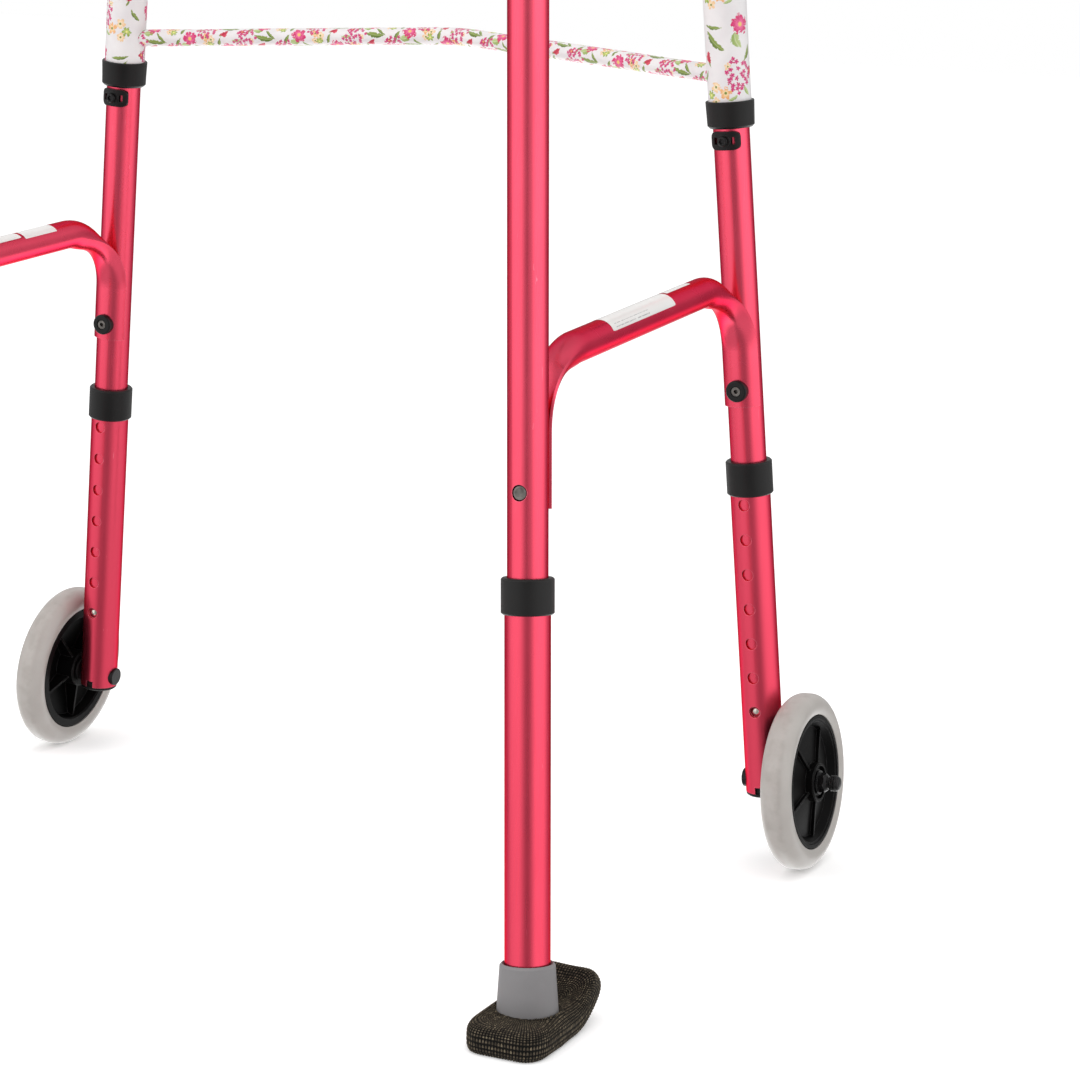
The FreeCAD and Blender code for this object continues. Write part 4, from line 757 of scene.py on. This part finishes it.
def hand_grip(side, material):
    """A moulded rubber grip: swelling body, ribs on top, finger waves below and a flange at each end."""
    low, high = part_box(side + "_hand_grip")
    centre = (low + high) / 2
    half = (high.y - low.y) / 2
    along = np.linspace(-1, 1, 401) * (half - 0.2 * MM)
    turn = np.linspace(0, 2 * math.pi, 128, endpoint=False)
    y, a = np.meshgrid(along, turn, indexing="ij")
    mm = y / MM
    ends = np.abs(mm)
    edge = half / MM
    radius = 15.2 + 0.9 * np.cos(math.pi * mm / 118)
    below = np.clip(-np.cos(a), 0, 1) ** 0.8
    above = np.clip(np.cos(a) * 1.4 - 0.35, 0, 1) ** 0.5
    body = 1 / (1 + np.exp((ends - 49) / 1.2))
    radius += body * below * 1.0 * (0.5 - 0.5 * np.cos(2 * math.pi * (mm + 12) / 24))
    groove = np.clip(np.cos(2 * math.pi * mm / 4.2) * 1.6 - 0.4, 0, 1)
    radius -= body * above * 0.55 * groove
    pad = np.clip(np.sin(a) ** 2 * 2.2 - 1.1, 0, 1)
    dots = np.clip(np.cos(2 * math.pi * mm / 3.2) * np.cos(a * 24), 0, 1)
    radius += body * pad * 0.35 * dots
    flange = np.exp(-(((ends - (edge - 4.5)) / 2.6) ** 4))
    radius += flange * (18.4 - radius)
    lip = np.clip((ends - (edge - 1.6)) / 1.6, 0, 1)
    radius -= lip**2 * 1.6
    radius -= 0.5 * np.exp(-(((ends - (edge - 10.5)) / 0.8) ** 2))
    rows = [np.stack([np.sin(a) * radius, mm, np.cos(a) * radius], -1)]
    first, last = rows[0][:1], rows[0][-1:]
    bore = 12.78
    ring = lambda row, r: np.stack([np.sin(a[:1]) * r, row[..., 1], np.cos(a[:1]) * r], -1)
    inner = 14.4
    points = np.concatenate([ring(first, bore), ring(first, inner), first, rows[0], last, ring(last, inner), ring(last, bore)])
    points = points * MM + np.array(centre)
    grip = grid_object(side + "_moulded_grip", points, material)
    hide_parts(side + "_hand_grip")
    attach(grip, side + "_side_frame")
    return grip


# ---- stickers on the braces ----


def sticker_material(spread):
    """White vinyl with plain grey rules and a faint bumpy surface."""
    g = Graph("sticker")
    uv = g.node("ShaderNodeUVMap", uv_map="cloth").outputs[0]
    u, v, _ = g.split(uv)[:3]
    cloud = g.noise(60.0, 3.0)
    colour = g.mix(cloud, linear(226, 225, 222), linear(234, 233, 231))
    rules = g.math("GREATER_THAN", g.math("FRACT", g.math("MULTIPLY", v, 1 / (2.6 * MM))), 0.72)
    zone = g.math("MULTIPLY", g.span(u, 6 * MM, 6.3 * MM), g.span(u, spread, spread - 0.3 * MM))
    band = g.math("MULTIPLY", g.span(v, 15 * MM, 15.2 * MM), g.span(v, 23.4 * MM, 23.2 * MM))
    dash = g.span(g.noise((900.0, 420.0, 1.0), 1.0, where=uv), 0.42, 0.46)
    ink = g.math("MULTIPLY", g.math("MULTIPLY", rules, zone), g.math("MULTIPLY", band, dash))
    colour = g.mix(g.math("MULTIPLY", ink, 0.6), colour, linear(110, 110, 112))
    normal = g.bump(g.noise(260.0, 3.0), 0.05 * MM, 0.4)
    return g.surface(Base_Color=colour, Roughness=0.32, Normal=normal, Coat_Weight=0.3)


def sticker(side, name, span, arc, material):
    """A thin label wrapped round the brace, from along-shares and angles from the top outward."""
    node = side + "_side_brace"
    tree = tree_of(node)
    low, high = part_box(node)
    hand = 1 if side == "right" else -1
    top = Vector(((low.x + high.x) / 2, 0, high.z - 12 * MM))
    ends = []
    for share in (0.3, 0.6):
        guess = top.copy()
        guess.y = low.y + (high.y - low.y) * share
        ends.append(section_centre(tree, guess, 1))
    along = (ends[1] - ends[0]).normalized()
    up = (Vector((0, 0, 1)) - along * along.z).normalized()
    out = up.cross(along) * (1 if up.cross(along).x * hand > 0 else -1)
    start = low.y + (high.y - low.y) * span[0]
    finish = low.y + (high.y - low.y) * span[1]
    radius = 10.5 * MM
    count, steps = 48, 36
    t = np.linspace(-1, 1, count)
    s = np.linspace(-1, 1, steps)
    tt, ss = np.meshgrid(t, s, indexing="ij")
    corner = 0.05
    nip = np.clip((np.abs(tt) - (1 - corner * 0.5)) / (corner * 0.5), 0, 1)
    ss2 = ss * (1 - corner * (1 - np.sqrt(1 - nip**2 * 0.999)))
    angle = np.radians((arc[0] + arc[1]) / 2 + (arc[1] - arc[0]) / 2 * ss2)
    centre_y = (start + finish) / 2 + (finish - start) / 2 * tt
    base = np.array(ends[0])[None, None] + np.array(along)[None, None] * ((centre_y - ends[0].y) / along.y)[..., None]
    ring = np.cos(angle)[..., None] * np.array(up) + np.sin(angle)[..., None] * np.array(out)
    edge = np.maximum(np.abs(tt), np.abs(ss)) ** 12
    skin = base + ring * (radius + 0.16 * MM - 0.11 * MM * edge)[..., None]
    u = (centre_y - start)
    v = (angle - math.radians(arc[0])) * radius
    uv = np.stack([u, v], -1)
    if hand < 0:
        skin = skin[::-1]
        uv = uv[::-1]
    made = grid_object(side + "_" + name, skin, material, across_closed=False, uv=uv)
    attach(made, side + "_side_frame")
    return made


# ---- small turned details ----


def lathe(name, profile, origin, axis, material, segments=64):
    """A turned piece from (along, radius) points in millimetres."""
    axis = Vector(axis).normalized()
    side = axis.orthogonal().normalized()
    other = axis.cross(side)
    turn = np.linspace(0, 2 * math.pi, segments, endpoint=False)
    around = np.cos(turn)[:, None] * np.array(side) + np.sin(turn)[:, None] * np.array(other)
    rows = [np.array(origin) + np.array(axis) * along * MM + around * radius * MM for along, radius in profile]
    return grid_object(name, np.array(rows), material)


def axle_thread(side, material):
    """The bare thread between the two nuts on the axle."""
    joint = side + "_wheel_spin"
    hub = Vector(JOINTS[joint]["pos_m"])
    axis = axis_of(joint)
    outward = axis if (axis.x > 0) == (side == "right") else -axis
    low, high = 18.6, 21.9
    profile = []
    steps = 60
    for i in range(steps + 1):
        along = low + (high - low) * i / steps
        profile.append((along, 4.12 + 0.32 * abs(((along / 0.8) % 1) - 0.5) * 2))
    made = lathe(side + "_axle_thread", profile, hub, outward, material)
    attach(made, side + "_front_leg")


# ---- finishes of the CAD parts ----


def dress(material, *nodes):
    for node in nodes:
        mesh = NODES[node].data
        mesh.materials.clear()
        mesh.materials.append(material)


def both(name):
    return ["right_" + name, "left_" + name]


ANODISED_UP = anodised("anodised_leg", 2)
ANODISED_FOOT = anodised("anodised_foot", 2, 0.04)
ANODISED_BENT = anodised("anodised_brace")
COLLAR_PLASTIC = moulded("collar_plastic", linear(20, 20, 20), linear(28, 27, 27), 0.42, edge_wear_and_highlight=0.35)
CLIP_PLASTIC = moulded("clip_plastic", linear(16, 16, 17), linear(24, 23, 23), 0.36, edge_wear_and_highlight=0.35)
HUB_PLASTIC = moulded("hub_plastic", linear(7, 7, 7), linear(11, 10, 10), 0.42, edge_wear_and_highlight=1.0, seams=70.0, gloss=0.05)
PLUG_PLASTIC = moulded("plug_plastic", linear(16, 15, 15), linear(22, 21, 21), 0.5)
BUSH_PLASTIC = moulded("bush_plastic", linear(22, 21, 22), linear(30, 29, 29), 0.4)
PADDLE_PLASTIC = moulded("paddle_plastic", linear(186, 40, 70), linear(202, 48, 80), 0.36, edge_wear_and_highlight=0.3, gloss=0.4)
GUIDE_PLASTIC = moulded("guide_plastic", linear(210, 206, 196), linear(222, 218, 210), 0.5)
CUP_RUBBER = moulded("cup_rubber", linear(131, 129, 130), linear(139, 137, 138), 0.56, 0.5, 0.12)
GRIP_RUBBER = moulded("grip_rubber", linear(26, 25, 26), linear(34, 33, 33), 0.6, 0.3, 0.2)
ZINC = steel("zinc_steel", linear(190, 188, 180), 0.3)
BUTTON = steel("button_steel", linear(228, 224, 214), 0.16)
DULL = steel("barrel_steel", linear(120, 116, 112), 0.42)
BLACK_STEEL = steel("black_steel", linear(32, 31, 32), 0.32, 0.7)

dress(ANODISED_UP, *both("side_tube"), *both("rear_extension"))
dress(ANODISED_FOOT, *both("front_extension"))
dress(ANODISED_BENT, *both("side_brace"))
dress(COLLAR_PLASTIC, *both("front_collar"), *both("rear_collar"), "sleeve_collars")
dress(CLIP_PLASTIC, *both("stop_clip"), *both("brace_washer"))
dress(PLUG_PLASTIC, *both("front_end_plug"))
dress(HUB_PLASTIC, *both("wheel_hub"))
dress(BUSH_PLASTIC, *both("wheel_bushes"), "paddle_brackets")
dress(PADDLE_PLASTIC, *both("release_paddle"))
dress(GUIDE_PLASTIC, "plunger_guides")
dress(CUP_RUBBER, *both("ski_glide"), *both("glide_cover"))
dress(GRIP_RUBBER, *both("hand_grip"))
dress(ZINC, *both("front_snap_spring"), *both("rear_snap_spring"), *both("latch_spring"))
dress(ZINC, *both("latch_plunger"), "paddle_pins")
dress(BUTTON, *both("front_snap_button"), *both("rear_snap_button"))
dress(DULL, *both("brace_barrels"))
dress(BLACK_STEEL, *both("side_screws"), *both("axle_bolt"), *both("axle_nuts"))
for hand in ("right", "left"):
    dress(tyre_rubber(hand + "_tyre_rubber", hand + "_wheel_spin"), hand + "_tyre")
dress(flower_print("print_on_sleeves", sleeve_flat), "front_sleeves")
dress(flower_print("print_on_lower_bar", bar_flat("lower_cross_bar", 7.8 * MM), 0.76, 0.68, 37), "lower_cross_bar")
dress(flower_print("print_on_upper_bar", bar_flat("upper_cross_bar", 11.1 * MM), 0.8, 0.7, 29), "upper_cross_bar")

KNIT = knit_material()
LABEL = sticker_material(60 * MM)
for hand in ("right", "left"):
    knit_cover(hand, KNIT)
    hand_grip(hand, GRIP_RUBBER)
    axle_thread(hand, BLACK_STEEL)
    sticker(hand, "label", (0.315, 0.605), (-40, 68), LABEL)
    sticker(hand, "small_label", (0.615, 0.73), (-50, 10), LABEL)


# ---- floor, light and camera ----


def lower_with_feet(plane):
    """The floor stays under the lowest foot, so that a drawn-out leg stands on it."""
    driver = plane.driver_add("location", 2).driver
    driver.type = "MIN"
    for hand in ("right", "left"):
        for body, node in (("_front_leg", "_tyre"), ("_rear_leg", "_ski_glide")):
            centre = middle(hand + node)
            foot = bpy.data.objects.new(hand + body + "_foot", None)
            foot.location = (centre.x, centre.y, 0)
            foot.parent = frame["bodies"][hand + body]
            bpy.context.scene.collection.objects.link(foot)
            height = driver.variables.new()
            height.type = "TRANSFORMS"
            height.targets[0].id = foot
            height.targets[0].transform_type = "LOC_Z"
            height.targets[0].transform_space = "WORLD_SPACE"


def floor():
    g = Graph("floor")
    cloud = g.noise(2.0, 3.0)
    colour = g.mix(cloud, linear(246, 246, 246), linear(250, 250, 250))
    g.surface(Base_Color=colour, Roughness=0.9, Specular_IOR_Level=0.1, Emission_Color=colour)
    seen = g.node("ShaderNodeLightPath").outputs["Is Camera Ray"]
    g.surface(Emission_Strength=g.math("MULTIPLY", seen, 0.3))
    mesh = bpy.data.meshes.new("floor")
    size = 9.0
    mesh.from_pydata([(-size, -size, 0), (size, -size, 0), (size, size, 0), (-size, size, 0)], [], [(0, 1, 2, 3)])
    mesh.materials.append(g.material)
    made = bpy.data.objects.new("floor", mesh)
    bpy.context.scene.collection.objects.link(made)
    made.visible_glossy = False
    lower_with_feet(made)


AZIMUTH = math.radians(24.808)
DIP = math.radians(12.177)
ROLL = math.radians(1.818)


def studio():
    """A pale surround: white to the camera, even for soft light, and with two tall soft boxes in reflections."""
    world = bpy.data.worlds.new("studio")
    bpy.context.scene.world = world
    world.use_nodes = True
    world.cycles.sampling_method = "NONE"
    tree = world.node_tree
    tree.nodes.clear()
    g = Graph.__new__(Graph)
    g.tree = tree
    output = tree.nodes.new("ShaderNodeOutputWorld")
    ray = tree.nodes.new("ShaderNodeLightPath").outputs
    toward = tree.nodes.new("ShaderNodeTexCoord").outputs["Generated"]
    back = (math.sin(AZIMUTH), -math.cos(AZIMUTH), 0.0)
    aside = (math.cos(AZIMUTH), math.sin(AZIMUTH), 0.0)
    ahead = g.vector("DOT_PRODUCT", toward, back)
    across = g.vector("DOT_PRODUCT", toward, aside)
    bearing = g.math("ARCTAN2", across, ahead)
    turn = g.math("ABSOLUTE", bearing)
    rise = g.split(toward)[2]
    gap = g.span(turn, math.radians(3), math.radians(44))
    fade = g.math("MULTIPLY", g.span(turn, math.radians(132), math.radians(80)), g.span(bearing, -0.2, 0.2, 0.86, 1.0))
    high = g.span(rise, -0.5, -0.02, 0.35, 1.0)
    box = g.math("MULTIPLY", g.math("MULTIPLY", gap, fade), high)
    shine = g.math("ADD", g.math("MULTIPLY", box, 1.3), g.span(rise, 0.3, 0.9, 0.4, 0.22))
    behind = g.span(turn, math.radians(95), math.radians(140))
    sky_and_floor = g.math("ADD", g.span(rise, 0.05, 0.3, 0.0, 0.45), g.span(rise, -0.2, -0.4, 0.0, 1.8))
    shine = g.math("ADD", shine, g.math("MULTIPLY", behind, sky_and_floor))
    soft = g.span(rise, -0.2, 0.9, 0.63, 0.93)
    strength = g.math("ADD", g.math("MULTIPLY", ray["Is Glossy Ray"], shine), g.math("MULTIPLY", ray["Is Diffuse Ray"], soft))
    strength = g.math("ADD", strength, ray["Is Camera Ray"])
    emission = tree.nodes.new("ShaderNodeBackground")
    emission.inputs["Color"].default_value = (1, 1, 1, 1)
    g.put(emission.inputs["Strength"], strength)
    tree.links.new(emission.outputs[0], output.inputs["Surface"])


def area(name, place, target, size, power):
    light = bpy.data.lights.new(name, "AREA")
    light.shape = "RECTANGLE"
    light.size, light.size_y = size
    light.energy = power
    made = bpy.data.objects.new(name, light)
    made.location = place
    made.rotation_mode = "QUATERNION"
    made.rotation_quaternion = (Vector(target) - Vector(place)).to_track_quat("-Z", "Y")
    bpy.context.scene.collection.objects.link(made)
    made.visible_glossy = False


def camera():
    right = Vector((math.cos(AZIMUTH), math.sin(AZIMUTH), 0))
    ahead = Vector((-math.sin(AZIMUTH) * math.cos(DIP), math.cos(AZIMUTH) * math.cos(DIP), -math.sin(DIP)))
    up = right.cross(ahead)
    rolled = right * math.cos(ROLL) + up * math.sin(ROLL)
    up = -right * math.sin(ROLL) + up * math.cos(ROLL)
    made = bpy.data.objects.new("camera", bpy.data.cameras.new("camera"))
    turn = Matrix((rolled, up, -ahead)).transposed()
    made.matrix_world = Matrix.Translation((1.06556, -1.89739, 0.71278)) @ turn.to_4x4()
    made.data.sensor_width = 36
    made.data.lens = 106.33
    made.data.clip_start = 0.05
    bpy.context.scene.collection.objects.link(made)
    bpy.context.scene.camera = made


floor()
studio()
area("overhead", (0.2, -0.4, 3.0), (0, 0, 0.2), (2.6, 2.6), 25)
area("window_left", (-2.2, -2.2, 1.8), (0, 0, 0.4), (1.6, 2.0), 16)
camera()
bpy.context.scene.view_settings.view_transform = "Standard"
